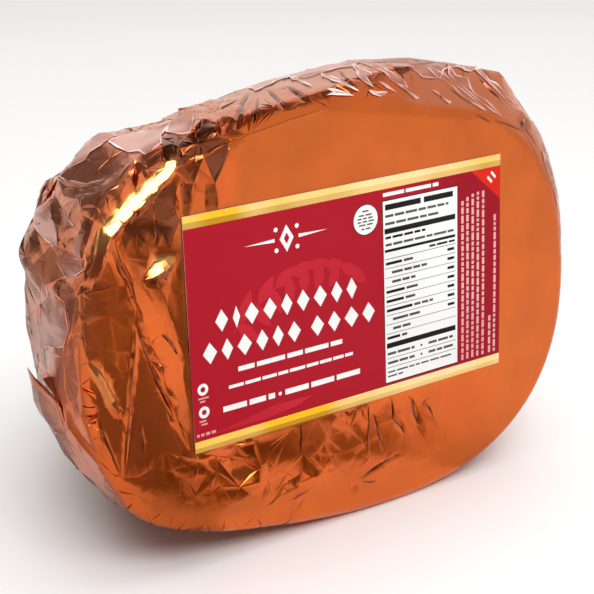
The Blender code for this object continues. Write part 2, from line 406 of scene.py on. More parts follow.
# The label's edges, and how high its middle is, in mm from the middle of the face.
LABEL_LEFT, LABEL_LOW, LABEL_RIGHT, LABEL_HIGH = -76.0, -46.0, 76.0, 45.0
LABEL_MIDDLE, LABEL_HALF_HEIGHT = (LABEL_HIGH + LABEL_LOW) / 2, (LABEL_HIGH - LABEL_LOW) / 2


def beyond_label(spots, room):
    """0 on the label and 1 once room clear of it."""
    across = np.maximum(np.abs(spots[:, 0]) - LABEL_RIGHT * MM, 0)
    upright = np.maximum(np.abs(spots[:, 1] - LABEL_MIDDLE * MM) - LABEL_HALF_HEIGHT * MM, 0)
    return ramp(np.hypot(across, upright), 0, room)


# --- The large creases ---
# The sheet of foil is drawn taut over most of the cut face. On its left and along its foot the foil
# is slack, and so are the sides: there it breaks into flat facets, with sharp creases between them.


def looseness(spots):
    """1 where the foil is crumpled, 0 where it is drawn taut."""
    bearing, past, left = polar(spots)
    x, z = spots[:, 0], spots[:, 1]
    above_foot = np.maximum(ramp(z, -46 * MM, -38 * MM), ramp(x, -60 * MM, -80 * MM))
    beside = ramp(x, -48 * MM, -60 * MM) * above_foot
    below = ramp(z, -43 * MM, -47 * MM) * ramp(x, 78 * MM, 60 * MM) * ramp(past, -4 * MM, -9 * MM)
    front = np.maximum(beside, below) * beyond_label(spots, 3 * MM) * ramp(past, 4 * MM, 0)
    left_rim = ramp(bearing, 120, 130) * ramp(bearing, 250, 238) * ramp(past, -10 * MM, -5 * MM)
    underside = ramp(bearing, 234, 248) * ramp(bearing, 356, 330)
    foot_band = ramp(bearing, 200, 214) * ramp(past, -17 * MM, -12 * MM) * ramp(past, 22 * MM, 12 * MM)
    side = ramp(past, -0.5 * MM, 3.5 * MM) * (1 - underside)
    slack = np.maximum(np.maximum(front, left_rim), side)
    return slack * (1 - 0.85 * foot_band) * ramp(left, 6 * MM, 16 * MM)


def edges_round(count, start=0):
    """The edges that join so many points to a closed ring."""
    return [(start + i, start + (i + 1) % count) for i in range(count)]


def join_points(points, edges, merged_within):
    """Joins points in mm into triangles that keep every edge: the places, the triangles and the rest."""
    made = delaunay_2d_cdt([mathutils.Vector(point) for point in points], edges, [], 0, merged_within)
    return np.array([tuple(point) for point in made[0]]), np.array(made[2]), made


def lay_facets(knots, creases=()):
    """Joins knots on the flat sheet into triangles, keeping every crease as an edge."""
    spots, triangles, made = join_points(knots / MM, list(creases), 1e-5)
    source = [list(was) for was in made[3]]
    kept = [edge for edge, was in zip(made[1], made[4]) if was]
    return spots * MM, triangles, np.array(made[1]), source, np.array(kept)


# The knots where creases meet: how far across and up the flat sheet from the middle of the face, and
# how far each stands out from the ham's even form, all in millimetres. Other scripts worked these
# numbers out beforehand: the places from where each crease is seen, and the heights by a search for
# the tones that the facets should mirror. The lines and outlines further down were placed likewise.
KNOTS = (
    (-52.9, 68.9, -0.5), (-59.5, 67.8, 0.2), (-65.8, 64.9, 0.7), (-73.3, 62.6, -0.3),
    (-78.4, 62.5, 0.3), (-81, 63.7, -0.4), (-87.1, 61.4, 0.5), (-93.2, 57.3, 0), (-97.4, 53.9, 0.1),
    (-103, 49, 0.1), (-106.5, 46.7, -0.7), (-109.4, 39.4, 0), (-108.6, 37.4, 0.3), (-81.3, 60, -0.1),
    (-88.6, 56, -0.8), (-94.2, 52.3, -0.9), (-96.1, 48.3, 0.1), (-99.9, 44.4, -0.1), (-103.6, 41.9, 0),
    (-97.3, 49.8, 0), (-102.4, 45.3, 0), (-112.7, 31.6, -0.1), (-115.9, 28.8, -0.5),
    (-121.5, 24.4, -0.4), (-108.5, 46.5, -0.7), (-109.9, 41.5, -0.3), (-112.2, 35.2, 0.4),
    (-115.4, 32.6, 0.6), (-121.5, 29.8, -0.1), (-126, 28.2, 0.3), (-134.9, 75.4, 1.3),
    (-127.1, 78.8, -0.2), (-120.7, 81.3, 0), (-112, 86.6, 2.4), (-106.5, 85.6, 1.6),
    (-98.1, 74.5, 1.2), (-92.2, 66.6, 2.1), (-123, 68.6, -0.7), (-112.5, 64.6, -0.8),
    (-105.3, 65.3, -0.8), (-99.2, 67.7, 0), (-130.3, 65.3, 0.3), (-116.7, 62.3, -0.3),
    (-105.3, 58.9, 0.4), (-98.2, 61.8, -0.5), (-115.8, 58.4, 1.3), (-116.8, 53.6, 0.1),
    (-115.8, 52, -0.4), (-119.6, 60.2, 0.5), (-108, 91, 1.2), (-100.1, 77.3, 1.3), (-98.1, 92.9, 0),
    (-92.7, 91.5, -0.4), (-91, 77.4, 0.8), (-89, 69.4, 1.2), (-94.2, 68.9, 1.6), (-80.9, 71.8, 2),
    (-79.2, 93.7, 0.3), (-81.8, 84, 0.9), (-83, 78.7, 1.4), (-79.7, 66, -2.1), (-74.8, 78.6, 0.5),
    (-71.4, 75.3, 0.1), (-63.6, 80.3, 2.5), (-58.2, 81.6, 0.2), (-55.5, 81.9, 0.1), (-53.8, 71.7, -3),
    (-74.6, 70.8, -0.1), (-66, 70.4, -1.7), (-68.6, 100.6, 1.2), (-59, 102.2, 0.5),
    (-57.2, 105.6, 0.4), (-56.8, 90.2, -0.2), (-47.2, 103, -0.2), (-46.2, 87.8, 0.7), (-88, 64, 0.2),
    (-110.2, 49.7, -0.5), (-140.4, 67.9, 0), (-134.8, 56.6, 0.1), (-130.2, 51.3, -0.1),
    (-138.4, 68.9, 0), (-131.7, 60.4, -0.8), (-129.3, 59.2, -0.7), (-124.6, 54.9, 0.4),
    (-121.4, 50, -0.2), (-129.7, 49.9, -0.1), (-117.3, 46.3, 0.3), (-121.4, 41.8, -0.3),
    (-124.6, 41.1, -0.3), (-130.6, 42.9, 0.1), (-157.6, 63.2, -0.5), (-140.8, 47.9, -0.1),
    (-134.2, 44.7, 0), (-143.6, 37.7, 0.5), (-142.2, 28.1, 0.1), (-130.5, 39.4, -0.6),
    (-127.9, 31.1, -0.8), (-177.3, 47.9, -1.4), (-153.1, 34.4, -0.8), (-114.7, 36.3, 2.6),
    (-143, 23.7, 0), (-148.7, 12.5, 1.2), (-131.5, 25.4, 1.9), (-125.9, 20, -0.2), (-126.1, 15.6, 0),
    (-103.4, 31.4, -0.1), (-99.1, 26.1, -0.2), (-104.2, 40, 0), (-102.2, 32.1, -0.2), (-96.8, 17.6, 0),
    (-96.3, 11.5, -0.1), (-102.6, 40.7, 0), (-100.4, 32.8, -0.2), (-97.6, 25.3, -0.2),
    (-92.7, 17.8, -0.2), (-90.6, 10.3, -0.3), (-112.2, 29.9, -0.2), (-118, 24.4, -0.2),
    (-122.8, 15.9, -0.1), (-100.9, 19.6, 0), (-100.2, 12.4, 0.1), (-111.1, 20.6, -0.3),
    (-90, 37.2, -0.1), (-89.5, 30.8, -0.1), (-87.6, 23.9, -0.2), (-84.1, 17.7, -0.3),
    (-87.8, 36.8, -0.1), (-83.4, 30.5, -0.4), (-80.5, 25.1, -0.3), (-81.6, 20.4, -0.4),
    (-94.7, 42.3, 0.2), (-87, 46.2, 1), (-75.5, 40.6, 0.2), (-86.5, 39.8, 0), (-94.3, 33.2, -0.3),
    (-93.4, 25.1, -0.2), (-79.5, 51.3, -0.3), (-74.5, 44.5, -0.4), (-77.5, 54.2, 0),
    (-75.6, 58.1, 0.3), (-74.4, 52.7, -0.5), (-74.2, 58.9, 0.5), (-70.1, 56.3, 0.2),
    (-70.8, 54.1, -0.1), (-72.7, 45.2, -0.3), (-61.6, 54.8, 0.3), (-65.4, 52.2, -0.1),
    (-66, 44.1, -0.2), (-61.5, 56.9, 0.1), (-56.8, 62.6, 0.4), (-60.4, 44.9, 0.4), (-55.3, 65.4, 0),
    (-75.9, 27, -0.3), (-76.2, 16, -0.2), (-82.5, 8.5, -0.6), (-153.5, 7, 2.9), (-142, 17.2, -0.5),
    (-129.3, 21.2, 1.3), (-125.6, 12.7, -0.3), (-132.2, 4.6, 0.1), (-137.5, -8.4, 0),
    (-139.7, -22.5, 0.8), (-178, -19.2, -1.1), (-150.8, -17.3, 0.4), (-137.5, -27.2, 0.9),
    (-164.9, -11.8, 0), (-151.6, -13.9, 1), (-139.3, -17.4, 0.6), (-133.7, 8, 0.4),
    (-132.3, -1.3, -0.5), (-134.3, -20.3, 0.4), (-131.7, -31.2, 0.6), (-122.9, -36.5, 0.2),
    (-116.2, -42, -0.9), (-108, -46.1, -0.2), (-98.1, -55.2, 0.3), (-83.5, -65.6, -0.3),
    (-65.8, -73.3, -0.5), (-45.4, -77.6, -1), (-30.1, -78, 0.1), (-136.8, -40.5, 0.7),
    (-135.6, -65.1, -0.7), (-124.3, -62.1, -1.1), (-108.2, -54.3, -1.1), (-91.2, -65.2, -0.6),
    (-68.5, -75.7, -0.6), (-44, -81.4, -1.1), (-159.1, -29.5, -2.6), (-161.3, -55.7, -1.8),
    (-132.3, 3.9, 0), (-117.7, 12.5, -0.2), (-117.1, 3.3, 0.2), (-114.7, -8.5, 0.1),
    (-114.4, -20.8, -1.4), (-123.9, 3.6, -1.7), (-119.7, -3.2, -1.6), (-122.6, -21.9, 0),
    (-97.1, 18.6, 0), (-96.4, 10.6, -0.1), (-94.1, 0.7, 0.1), (-90.6, -11.1, 0), (-84.1, -26.6, -0.6),
    (-76.9, -42.9, -0.2), (-89.8, 17.1, -0.3), (-87.9, 5.3, -0.5), (-83.9, -6.5, -0.8),
    (-78.5, -19.7, -1.4), (-76.8, -30, -1.2), (-98.5, -2.3, -0.2), (-101.4, -12.5, 0.1),
    (-102.9, -23.7, -0.9), (-104.8, -33.7, 0.4), (-105.5, -44.6, 0.1), (-102.7, -20.3, 0.3),
    (-98.4, -21.4, 0.8), (-97, -30.1, 0.9), (-97.3, -40.7, 0.3), (-99, -39.4, -0.1),
    (-100.5, -30.6, -0.3), (-93.4, -14.4, 0.2), (-91.3, -26.1, 0.1), (-87.4, -42, 0.5),
    (-117.5, -0.4, -0.6), (-114.7, -9.1, 0.1), (-109.7, -18.5, -0.4), (-109, -23.5, -0.8),
    (-104.8, -24.6, -0.7), (-105.6, -19.6, 0.7), (-110.6, -8.9, 1), (-115.4, -0.2, 0.6),
    (-118, 16.5, -0.7), (-118.2, 10.1, -0.7), (-117.1, 1.3, 0), (-108.4, 17.2, -0.1), (-97.1, 14.7, 0),
    (-110.1, 2.4, 0.3), (-100, 0.1, -0.1), (-103.4, -10.6, 0.4), (-105.9, -4, 0.5),
    (-112.6, -28.7, -0.1), (-107.8, -44, 0), (-118.1, -31.7, 0.3), (-105.3, -47.6, -0.1),
    (-101.9, -42.9, 0.5), (-97.2, -41.4, 0.3), (-88.3, -41.8, 0.4), (-90.5, -44.6, 0),
    (-94.8, -47.1, -0.6), (-99.2, -48.6, -0.5), (-75.1, -46, 0), (-70.1, -48.1, -0.6),
    (-71.8, -54.2, 0.4), (-76.5, -61.8, -0.3), (-77.3, -58.7, 0), (-76, -52.9, 0.8),
    (-59, -53.4, -3.6), (-47.2, -61.5, 1.4), (-48.4, -68.8, 0.1), (-60.1, -71.9, -0.9),
    (-67.3, -69.7, -0.4), (-57.1, -48, -2.4), (-49.7, -47.8, 0.8), (-53.4, -54, -1.3),
    (-61.8, -72.2, -1), (-51.8, -69.2, -0.1), (-44.2, -67.5, -0.4), (-48.6, -73.2, -0.9),
    (-86.3, -50.1, 0), (-83.1, -58.4, -0.2), (-78.9, -64.7, -0.4), (-95.9, -47.3, -0.7),
    (-91.9, -55.6, 0.1), (-86.6, -61.9, -0.2), (-40.6, 70.9, 0.9), (-28, 73.1, 3.9),
    (-17.3, 74.2, 0.4), (-7.4, 75.2, -0.1), (-2.7, 76.5, 0), (5.2, 76.2, 0.7), (20.1, 75.6, 0.3),
    (32.8, 72.6, 0.2), (47.1, 69, -0.1), (60.5, 64.3, 0.1), (74.5, 59.1, 0.2), (90.6, 51.8, -0.1),
    (98.4, 46.1, 0.5), (-50.3, 72.4, -0.6), (-47.1, 80.7, 1.1), (-37.4, 98.9, 0.7),
    (-28.1, 104.8, 0.5), (-47.9, 72.1, -0.2), (-45.9, 77.9, -0.1), (-39.2, 90.8, 0.1),
    (-28.5, 100.7, 0.4), (-31.1, 80.7, 0), (-29.2, 76.3, 1.2), (-29.6, 80.5, -0.1), (-27, 98.4, 0.2),
    (-20.6, 100.9, 1.1), (-19.8, 88.8, -0.1), (-18.6, 79.2, -0.9), (-17.5, 82.1, 0),
    (-17.5, 94.7, 2.1), (-42.9, 74.3, -0.8), (-40.6, 79.1, 1), (-37, 88.9, 0.3), (-8.9, 103.5, 0),
    (0.1, 105.9, 0.2), (14.3, 108.9, 0.8), (23.9, 101.6, 0.9), (-42.3, 98.7, 0.3),
    (-21.2, 117.4, -0.4), (-11.2, 118.5, -0.5), (-2.8, 114.3, -0.5), (-8.3, 102.6, 0.1),
    (17, 114.2, 0.7), (33, 109, 0.7), (-58.2, 78.9, 0.1), (-54.9, 90.2, -0.3), (12.1, 108.1, 0.7),
    (5, 90.5, -0.3), (6.7, 80, 0), (0.8, 83.7, 0.4), (15.3, 101.6, 0.7), (6.7, 85.5, -0.2),
    (-6.6, 82.6, 0.5), (2.3, 78.4, 0.2), (-6.6, 80.7, -0.1), (28.3, 105.4, 1), (15, 87.1, -0.4),
    (14.1, 79, 0), (18.9, 77.2, 0.1), (16.1, 76.4, 0.3), (11.8, 79, 0.2), (16.8, 92.8, 0.3),
    (38.3, 113.8, 0.8), (42.2, 106, 1.7), (34.2, 91.8, 0.2), (32.7, 81.8, -0.5), (31.8, 77.9, -0.3),
    (27.7, 82, -0.3), (25.3, 86.5, -0.5), (33.2, 102.1, 0.9), (40.8, 87.5, -1.2), (47.7, 80.4, -0.4),
    (52.5, 80.4, -0.2), (52.5, 83.9, -0.6), (28.1, 80.4, -0.3), (31.7, 75.6, -0.1), (35.2, 72.6, 0.1),
    (30.2, 76.6, -0.1), (58.4, 75.9, -0.1), (64, 69.6, 0), (68.9, 64.4, 0.1), (61.2, 69.5, -0.1),
    (55, 77, -0.2), (67, 84.9, 1.1), (63.9, 77.4, 0), (69.3, 68.9, 0), (77.2, 60.2, 0),
    (67.4, 67.3, 0.1), (61.1, 76.7, 0), (78.6, 81.7, 1.2), (77.3, 72.2, 0), (84.1, 64.2, 0),
    (94.1, 60.2, 0.3), (82.4, 63.9, 0), (74.7, 72.1, 0.1), (62.3, 63.1, 0.2), (66.8, 61.1, 0.2),
    (71.6, 58.6, 0.4), (66.1, 60.1, 0.7), (46.1, 75.1, -0.1), (49.3, 71, -0.2), (51.6, 69.5, -0.2),
    (19, 81.5, -0.5), (22.3, 78.6, 0), (24.1, 76.8, 0), (100.4, 55.4, 0.7), (98.5, 50.1, 0.4),
    (93.3, 50.4, 0), (90.5, 55.7, -0.1), (88.4, 76.3, 0.4), (-29.4, -47.3, -0.1), (-30.9, -53.3, 0),
    (-30.3, -61, 0.4), (-28, -47.2, -0.1), (-27.5, -53.1, -0.1), (-29.2, -60, 0.3),
    (-18.2, -48.7, -0.1), (-17.1, -57.2, 0), (-13.2, -66.9, 1.1), (-10.8, -72.1, 0.5),
    (-14.5, -51.3, -0.3), (-9.8, -60.8, -0.1), (-6.7, -68.8, 0.1), (-6.4, -74.1, -0.3),
    (-7.1, -55.7, -0.2), (-4.5, -63.7, -0.1), (-6.1, -64.6, -0.2), (-5.6, -48.1, -2),
    (-3.2, -57.5, -0.2), (-4.3, -69.4, 0.2), (0.5, -70.6, 0.5), (2.7, -48.6, -0.7), (3.9, -57.3, 0.2),
    (4.3, -61.7, 0.3), (5.8, -47, -0.3), (5.9, -54.8, 0.4), (5.1, -70.2, 1), (7.8, -52.1, 0.3),
    (10.4, -60.6, 0.3), (12.5, -70.2, 0.6), (6.5, -62.6, 0.4), (17.2, -47.3, 0.7), (18.4, -57, 0.1),
    (22.4, -61.7, -0.2), (23.8, -65.2, -0.2), (13.5, -50, 0.3), (15, -57, 0.1), (25.9, -48.9, 0.1),
    (28.1, -56.9, -0.3), (30.5, -63.2, -0.4), (34.6, -61.9, 0.1), (31.3, -54.8, 0.2),
    (27.8, -49.3, 0.2), (34.5, -53.3, 0.6), (36.7, -56.3, 0.4), (39.2, -60.8, 0.5), (0, -78.8, -0.3),
    (3.9, -76.7, 0.1), (13.2, -74.4, 0.5), (20.9, -72.7, 0), (15.9, -76.3, 0.3), (9.2, -78.5, 0.1),
    (1.2, -79.1, -0.2), (6.4, -81.5, -0.2), (9.2, -81.8, -0.2), (-33.1, -78.1, -0.2),
    (-24.9, -76.1, 0.1), (-17.4, -79.1, 1.3), (-13.3, -75.9, 0.7), (-9.5, -73.7, 0.2),
    (-33.9, -69.8, -1.9), (-27.6, -67.3, 0.5), (-21.6, -72.3, 1.9), (-22.4, -62.3, 0.2),
    (-19, -68.4, 1.5), (-4.1, -82, -0.8), (-132.9, 2.5, 0.1), (-116.4, -0.3, 0.3), (-100.5, 15.5, 0.1),
    (-7.7, 103.8, 0), (-57.4, 81.7, 0.1), (53.6, 80.8, -0.2), (54.6, 81.1, -0.2),
)
# The creases between them, each as the run of knots that it passes through.
CREASES = (
    (94, 93, 92, 89, 88, 99, 27, 28, 29, 102, 94, 98, 97, 90, 77, 30, 31, 32, 33, 49, 51),
    (101, 100, 94, 96, 27, 26, 25, 24, 76, 46, 48, 41, 30, 37, 38, 39, 40, 36, 75, 5, 4, 141, 142, 143, 144),
    (93, 98, 90, 91, 92, 95, 96, 29, 23, 22, 21, 12, 18, 17, 16, 15, 14, 13, 4, 3, 2, 1, 0, 273, 274, 275,
     276, 277, 278, 279, 280, 281, 282, 368, 371, 370, 369, 368),
    (165, 166, 167, 161, 164, 180, 181, 182, 183, 184, 185, 186), (161, 163, 162),
    (167, 160, 449, 189, 159, 158, 157, 156, 155), (164, 187), (180, 188), (91, 79, 81, 80),
    (77, 78, 79, 85, 84, 87, 88, 95, 89, 79), (189, 190, 230, 233, 451, 234), (81, 82, 83, 84),
    (104, 103, 102), (171, 170, 169, 449, 168),
    (169, 194, 195, 196, 241, 174, 175, 176, 177, 178, 438, 179), (37, 42, 43, 8, 19, 16, 131, 132),
    (87, 86, 47, 46, 45, 43, 44, 36, 55, 35, 50, 34, 33), (86, 99, 76, 47),
    (232, 191, 190, 231, 191, 450, 192, 223, 193, 239, 240),
    (223, 224, 225, 226, 211, 212, 242, 248, 270, 247, 246, 245, 244, 243, 242),
    (192, 222, 450, 229, 228, 227, 226), (48, 82, 41, 42), (225, 193, 196, 171, 172, 173, 174),
    (11, 10, 9, 8, 7, 6, 5, 60, 56, 59, 58, 57),
    (25, 11, 12, 105, 106, 197, 109, 110, 198, 208, 209, 213, 210, 211),
    (10, 18, 111, 112, 113, 114, 115), (24, 10, 76), (238, 228), (12, 116, 117, 118), (49, 50),
    (117, 121, 119, 451, 120), (43, 9, 20, 17, 130, 122, 126, 127, 128, 129, 125, 154), (38, 32),
    (18, 107, 108, 106, 119), (210, 218, 217, 216, 244), (216, 215, 214, 213, 237, 238, 235, 236, 237),
    (130, 134, 135, 114), (270, 271, 272), (199, 198), (7, 36), (55, 54, 56), (245, 267, 268, 269),
    (122, 123, 124, 125), (6, 75, 54, 53, 52), (126, 133, 131), (58, 61, 62, 68, 2, 145, 150),
    (59, 67, 3, 142, 140, 137, 136, 14), (128, 152), (129, 153), (207, 206, 205, 204, 203),
    (249, 202, 201, 200, 199, 219, 220, 221, 254, 253, 252, 251, 250, 249, 254), (138, 4), (61, 69),
    (140, 139, 138, 137), (67, 62, 63, 64, 453, 65, 74), (142, 2, 148, 145, 146, 147), (143, 146),
    (251, 259, 258, 264, 257, 265, 266, 263, 258), (250, 255, 256, 257), (68, 63, 70),
    (145, 149, 151, 0, 66, 65), (148, 149), (255, 260, 261, 256, 262, 260), (72, 64),
    (66, 317, 453, 318, 310, 311, 312, 313, 315, 316), (305, 304, 303), (388, 385, 384, 383),
    (438, 439, 445, 447, 391, 392, 396, 429, 435, 436, 437), (386, 387, 388, 446, 390, 389),
    (445, 440, 441, 442, 396, 448, 435, 434, 433, 432, 417, 416, 415, 414, 418, 419, 415), (439, 440),
    (311, 289, 292, 291, 290, 286, 287, 288, 289, 298, 302, 301, 300, 299, 298, 306, 452, 307, 319, 308, 309),
    (443, 444, 445, 446), (391, 390), (441, 447), (306, 314, 452, 313), (399, 394, 393, 397, 398, 403),
    (394, 395, 396, 402, 399, 398, 401, 400), (406, 405, 404), (429, 430, 431, 432),
    (430, 409, 413, 410, 411, 412, 431), (409, 406, 408, 407), (321, 320, 319, 322, 321, 324, 323),
    (417, 422, 423, 424, 425), (375, 376, 377), (420, 421, 422), (348, 347, 350, 348, 349),
    (337, 336, 335, 342, 341, 340, 339, 338, 337, 343, 344, 345, 454, 455, 356, 357, 358, 359, 360, 361, 356),
    (428, 427, 426), (374, 373, 372), (343, 346, 455, 351, 352, 353, 354, 355, 454, 346),
    (369, 283, 284, 380, 379, 378, 365, 364, 363, 362, 367, 366, 365, 381, 380), (364, 382),
    (284, 285, 379), (71, 72, 73), (297, 293, 294, 295, 296, 297), (325, 326, 327, 325),
    (329, 328, 334, 329, 333, 332, 331, 330, 329),
)


def knot_ring(chance, count, row, past, spacing, jitter):
    """A ring of knots, staggered with the ring before it and pushed about."""
    shuffled = np.arange(count) + 0.5 * (row % 2) + chance.uniform(-jitter, jitter, count)
    pasts = past + chance.uniform(-jitter, jitter, count) * spacing
    return from_polar(shuffled * 360.0 / count, pasts)


def wall_ring_knots(chance, spacing_round, spacing_along, reach_from, reach_to, jitter=0.40):
    """Knots in rings round the sides, with spacing across and along."""
    found = []
    row = 0
    past = reach_from
    while past < reach_to:
        top = read_table(pack_table, from_polar(np.array([95.0]), np.array([past])))[0, [0, 2]]
        circle = np.linalg.norm(top - SECTION_CENTRE)
        count = max(8, int(2 * math.pi * max(circle, 45 * MM) / spacing_round))
        found.append(knot_ring(chance, count, row, past, spacing_along, jitter))
        past += spacing_along
        row += 1
    return np.concatenate(found)


def clear_of(knots, others, room):
    """The knots that have no other within room."""
    grid = {}
    for other in others:
        grid.setdefault(tuple((other // room).astype(int)), []).append(other)
    kept = []
    for knot in knots:
        cell = (knot // room).astype(int)
        near = [o for i in (-1, 0, 1) for j in (-1, 0, 1) for o in grid.get((cell[0] + i, cell[1] + j), ())]
        if all(np.hypot(*(knot - o)) > room for o in near):
            kept.append(knot)
    return np.array(kept)


def calmed(spots):
    """How much of a crease's height is left where the sheet is drawn tighter: over the top, low on the
    left, round the left rim and under the label."""
    bearing, past, left = polar(spots)
    over_top = 0.72 * ramp(bearing, 122, 108) * ramp(past, -6 * MM, 0) * ramp(past, 90 * MM, 60 * MM)
    low_left = 0.55 * ramp(bearing, 170, 182) * ramp(bearing, 245, 225) * ramp(past, -8 * MM, -2 * MM)
    rim_left = 0.75 * hill(bearing, 192, 17) * ramp(past, -24 * MM, -14 * MM) * ramp(past, 20 * MM, 12 * MM)
    below = 0.35 * ramp(bearing, 215, 228) * ramp(bearing, 300, 285) * ramp(past, -45 * MM, -38 * MM)
    return (1 - over_top - low_left) * (1 - rim_left) * (1 - below)


chance = np.random.default_rng(21)
laid_knots, laid_heights = np.array(KNOTS)[:, :2] * MM, np.array(KNOTS)[:, 2] * MM
laid_creases = [pair for line in CREASES for pair in zip(line, line[1:])]
wall_knots = wall_ring_knots(chance, 15 * MM, 24 * MM, 34 * MM, 262 * MM)
wall_knots = wall_knots[polar(wall_knots)[2] > 4 * MM]
below_knots = np.array([(x, z) for x in np.arange(-30, 52, 7.5) for z in (-48, -57, -67, -76)], float)
below_knots = (below_knots + chance.uniform(-2.6, 2.6, below_knots.shape)) * MM
wall_knots = clear_of(wall_knots, laid_knots, 9 * MM)
below_knots = clear_of(below_knots, laid_knots, 6 * MM)
rest = np.concatenate([wall_knots, below_knots])
bearing, past, left = polar(rest)
tallest = np.where(past > 0, 1.4 + 1.0 * hill(bearing, 160, 50) + 0.8 * ramp(past, 60 * MM, 160 * MM), 0.3)
rest_heights = tallest * MM * chance.uniform(-1, 1, len(rest)) * calmed(rest)
laid_heights = laid_heights * calmed(laid_knots)
# Close rings of level knots keep the rounded rim smooth where the sheet is drawn taut over it.
level = [np.array([(x, z) for x in (-58, -20, 20, 60) for z in (-30, 0, 30)]) * MM]
for rim_past in (-8, -3, 1, 5, 9, 14, 20):
    level.append(from_polar(np.arange(-60, 126, 4.0) + rim_past / 4, np.full(47, rim_past * MM)))
level = clear_of(np.concatenate(level), laid_knots, 7 * MM)
knots = np.concatenate([laid_knots, rest, level])
heights = np.concatenate([laid_heights, rest_heights, np.zeros(len(level))])
control_spots, control_triangles, control_edges, source, sharp_edges = lay_facets(knots, laid_creases)
first_of = np.array([was[0] if was else -1 for was in source])
control_heights = heights[first_of]
is_laid = (first_of >= 0) & (first_of < len(laid_knots))
is_level = first_of >= len(laid_knots) + len(rest)
for i in np.flatnonzero(first_of < 0):
    near = np.argsort(np.hypot(*(knots - control_spots[i]).T))[:2]
    control_heights[i] = heights[near].mean()


# --- The small creases and the crushed knots ---
# Between the large creases the foil is lightly crinkled, more so in some patches than in others.
# Where big folds meet, it is crushed hard into small tight knots.

# The crushed knots: where each is, across and up, its reach, and how deeply it is crushed.
CRUSHED = (
    (95, 54.9, 5, 3), (-8.1, 77.3, 3, 0.7), (-3.9, 76.2, 2.5, 0.5), (-127.6, 46.8, 5.5, 0.8),
    (-74.6, 73.9, 3.2, 0.8), (-55.7, 95.3, 5.5, 0.8), (-62, 88.4, 3, 0.6), (-119.4, 25.9, 4.5, 0.7),
    (-84.6, 23.7, 4.5, 0.5), (-86.9, 29.1, 3, 0.4), (-109.9, -15.8, 4, 0.28),
    (-107.3, -21.9, 3.5, 0.25), (-102, -2.8, 4.5, 0.25), (-104.8, -7.6, 3, 0.23),
    (-126.3, 5.2, 4, 0.25), (-124.7, -1.5, 4, 0.23), (-129.6, -18.1, 4.5, 0.23),
    (-125.2, -26.5, 3.5, 0.2), (-112.1, -49.1, 4, 0.2), (-97.5, -48.3, 4, 0.25),
    (-88.9, -53.1, 4.5, 0.28), (-82.4, -60.6, 4, 0.5), (-74.9, -65.1, 3.5, 0.45),
    (-68.7, -66.5, 3.5, 0.45), (-92.4, -37.1, 4, 0.25), (-80.1, -3.9, 4.5, 0.4),
    (0.5, -50.9, 3.2, 0.6), (3, -64.8, 2.5, 0.5), (-2.4, -80.8, 2.2, 0.45), (-19.1, -70.8, 3.5, 0.4),
    (-8.2, 113.3, 3.5, 0.5), (-55.6, 94.1, 4, 0.7), (-98.5, 48.4, 2.6, 0.5),
)


def crinkle_knots(chance, spacing, reach_from, reach_to, jitter):
    """Knots in rings at an even spacing over the sheet."""
    found = []
    past, row = reach_from, 0
    while past < reach_to:
        some = np.arange(0, 360, 10.0)
        ring = read_table(pack_table, from_polar(some, np.full(len(some), past)))
        length = np.linalg.norm(np.roll(ring, -1, axis=0) - ring, axis=1).sum()
        count = max(12, int(length / spacing))
        found.append(knot_ring(chance, count, row, past, spacing, jitter))
        past += spacing * 0.87
        row += 1
    return np.concatenate(found)


def away_from(spots, x, z):
    """How far each place is from one place on the flat sheet, in mm."""
    return np.hypot(spots[:, 0] / MM - x, spots[:, 1] / MM - z)


small_knots = crinkle_knots(chance, 9.5 * MM, -60 * MM, 262 * MM, 0.42)
small_knots = small_knots[(polar(small_knots)[2] > 2 * MM) & (looseness(small_knots) > 0.02)]
for crushed_x, crushed_z, reach, depth in CRUSHED:
    count = int(6 * (reach / 3.0) ** 2)
    turned, out = chance.uniform(0, 2 * math.pi, count), np.sqrt(chance.uniform(0, 1, count)) * reach
    tight = np.stack([crushed_x + out * np.cos(turned), crushed_z + out * np.sin(turned)], axis=1) * MM
    small_knots = np.concatenate([small_knots, tight])
patchy = 0.5 + 0.5 * np.sin(small_knots[:, 0] * 61 + 1.3) * np.sin(small_knots[:, 1] * 73 + 0.4)
small_heights = (0.02 + 0.07 * patchy) * MM * chance.uniform(-1, 1, len(small_knots))
for crushed_x, crushed_z, reach, depth in CRUSHED:
    inside = away_from(small_knots, crushed_x, crushed_z) < reach
    small_heights[inside] = 0.45 * depth * MM * chance.uniform(-1, 1, inside.sum())
small_heights *= 0.4 + 0.6 * ramp(polar(small_knots)[1], 0, 25 * MM)
small_spots, small_triangles, small_edges, small_source, _ = lay_facets(small_knots)
small_heights = np.array([small_heights[was[0]] if was else 0.0 for was in small_source])


def read_facets(spots, triangles, values, at):
    """Values given at the knots, read at any place on the sheet through the flat facets."""
    flat = [(x, z, 0.0) for x, z in spots.tolist()]
    tree_of_facets = BVHTree.FromPolygons(flat, triangles.tolist())
    hits = np.array([tree_of_facets.find_nearest((x, z, 0.0))[2] for x, z in at.tolist()])
    a, b, c = (spots[triangles[hits, corner]] for corner in range(3))
    ab, ac, ap = b - a, c - a, at - a
    area = ab[:, 0] * ac[:, 1] - ab[:, 1] * ac[:, 0]
    area = np.where(np.abs(area) < 1e-14, 1e-14, area)
    wb = np.clip((ap[:, 0] * ac[:, 1] - ap[:, 1] * ac[:, 0]) / area, 0, 1)
    wc = np.clip((ab[:, 0] * ap[:, 1] - ab[:, 1] * ap[:, 0]) / area, 0, 1 - wb)
    corner_values = values[triangles[hits]]
    if values.ndim == 2:
        wb, wc = wb[:, None], wc[:, None]
    return corner_values[:, 0] * (1 - wb - wc) + corner_values[:, 1] * wb + corner_values[:, 2] * wc


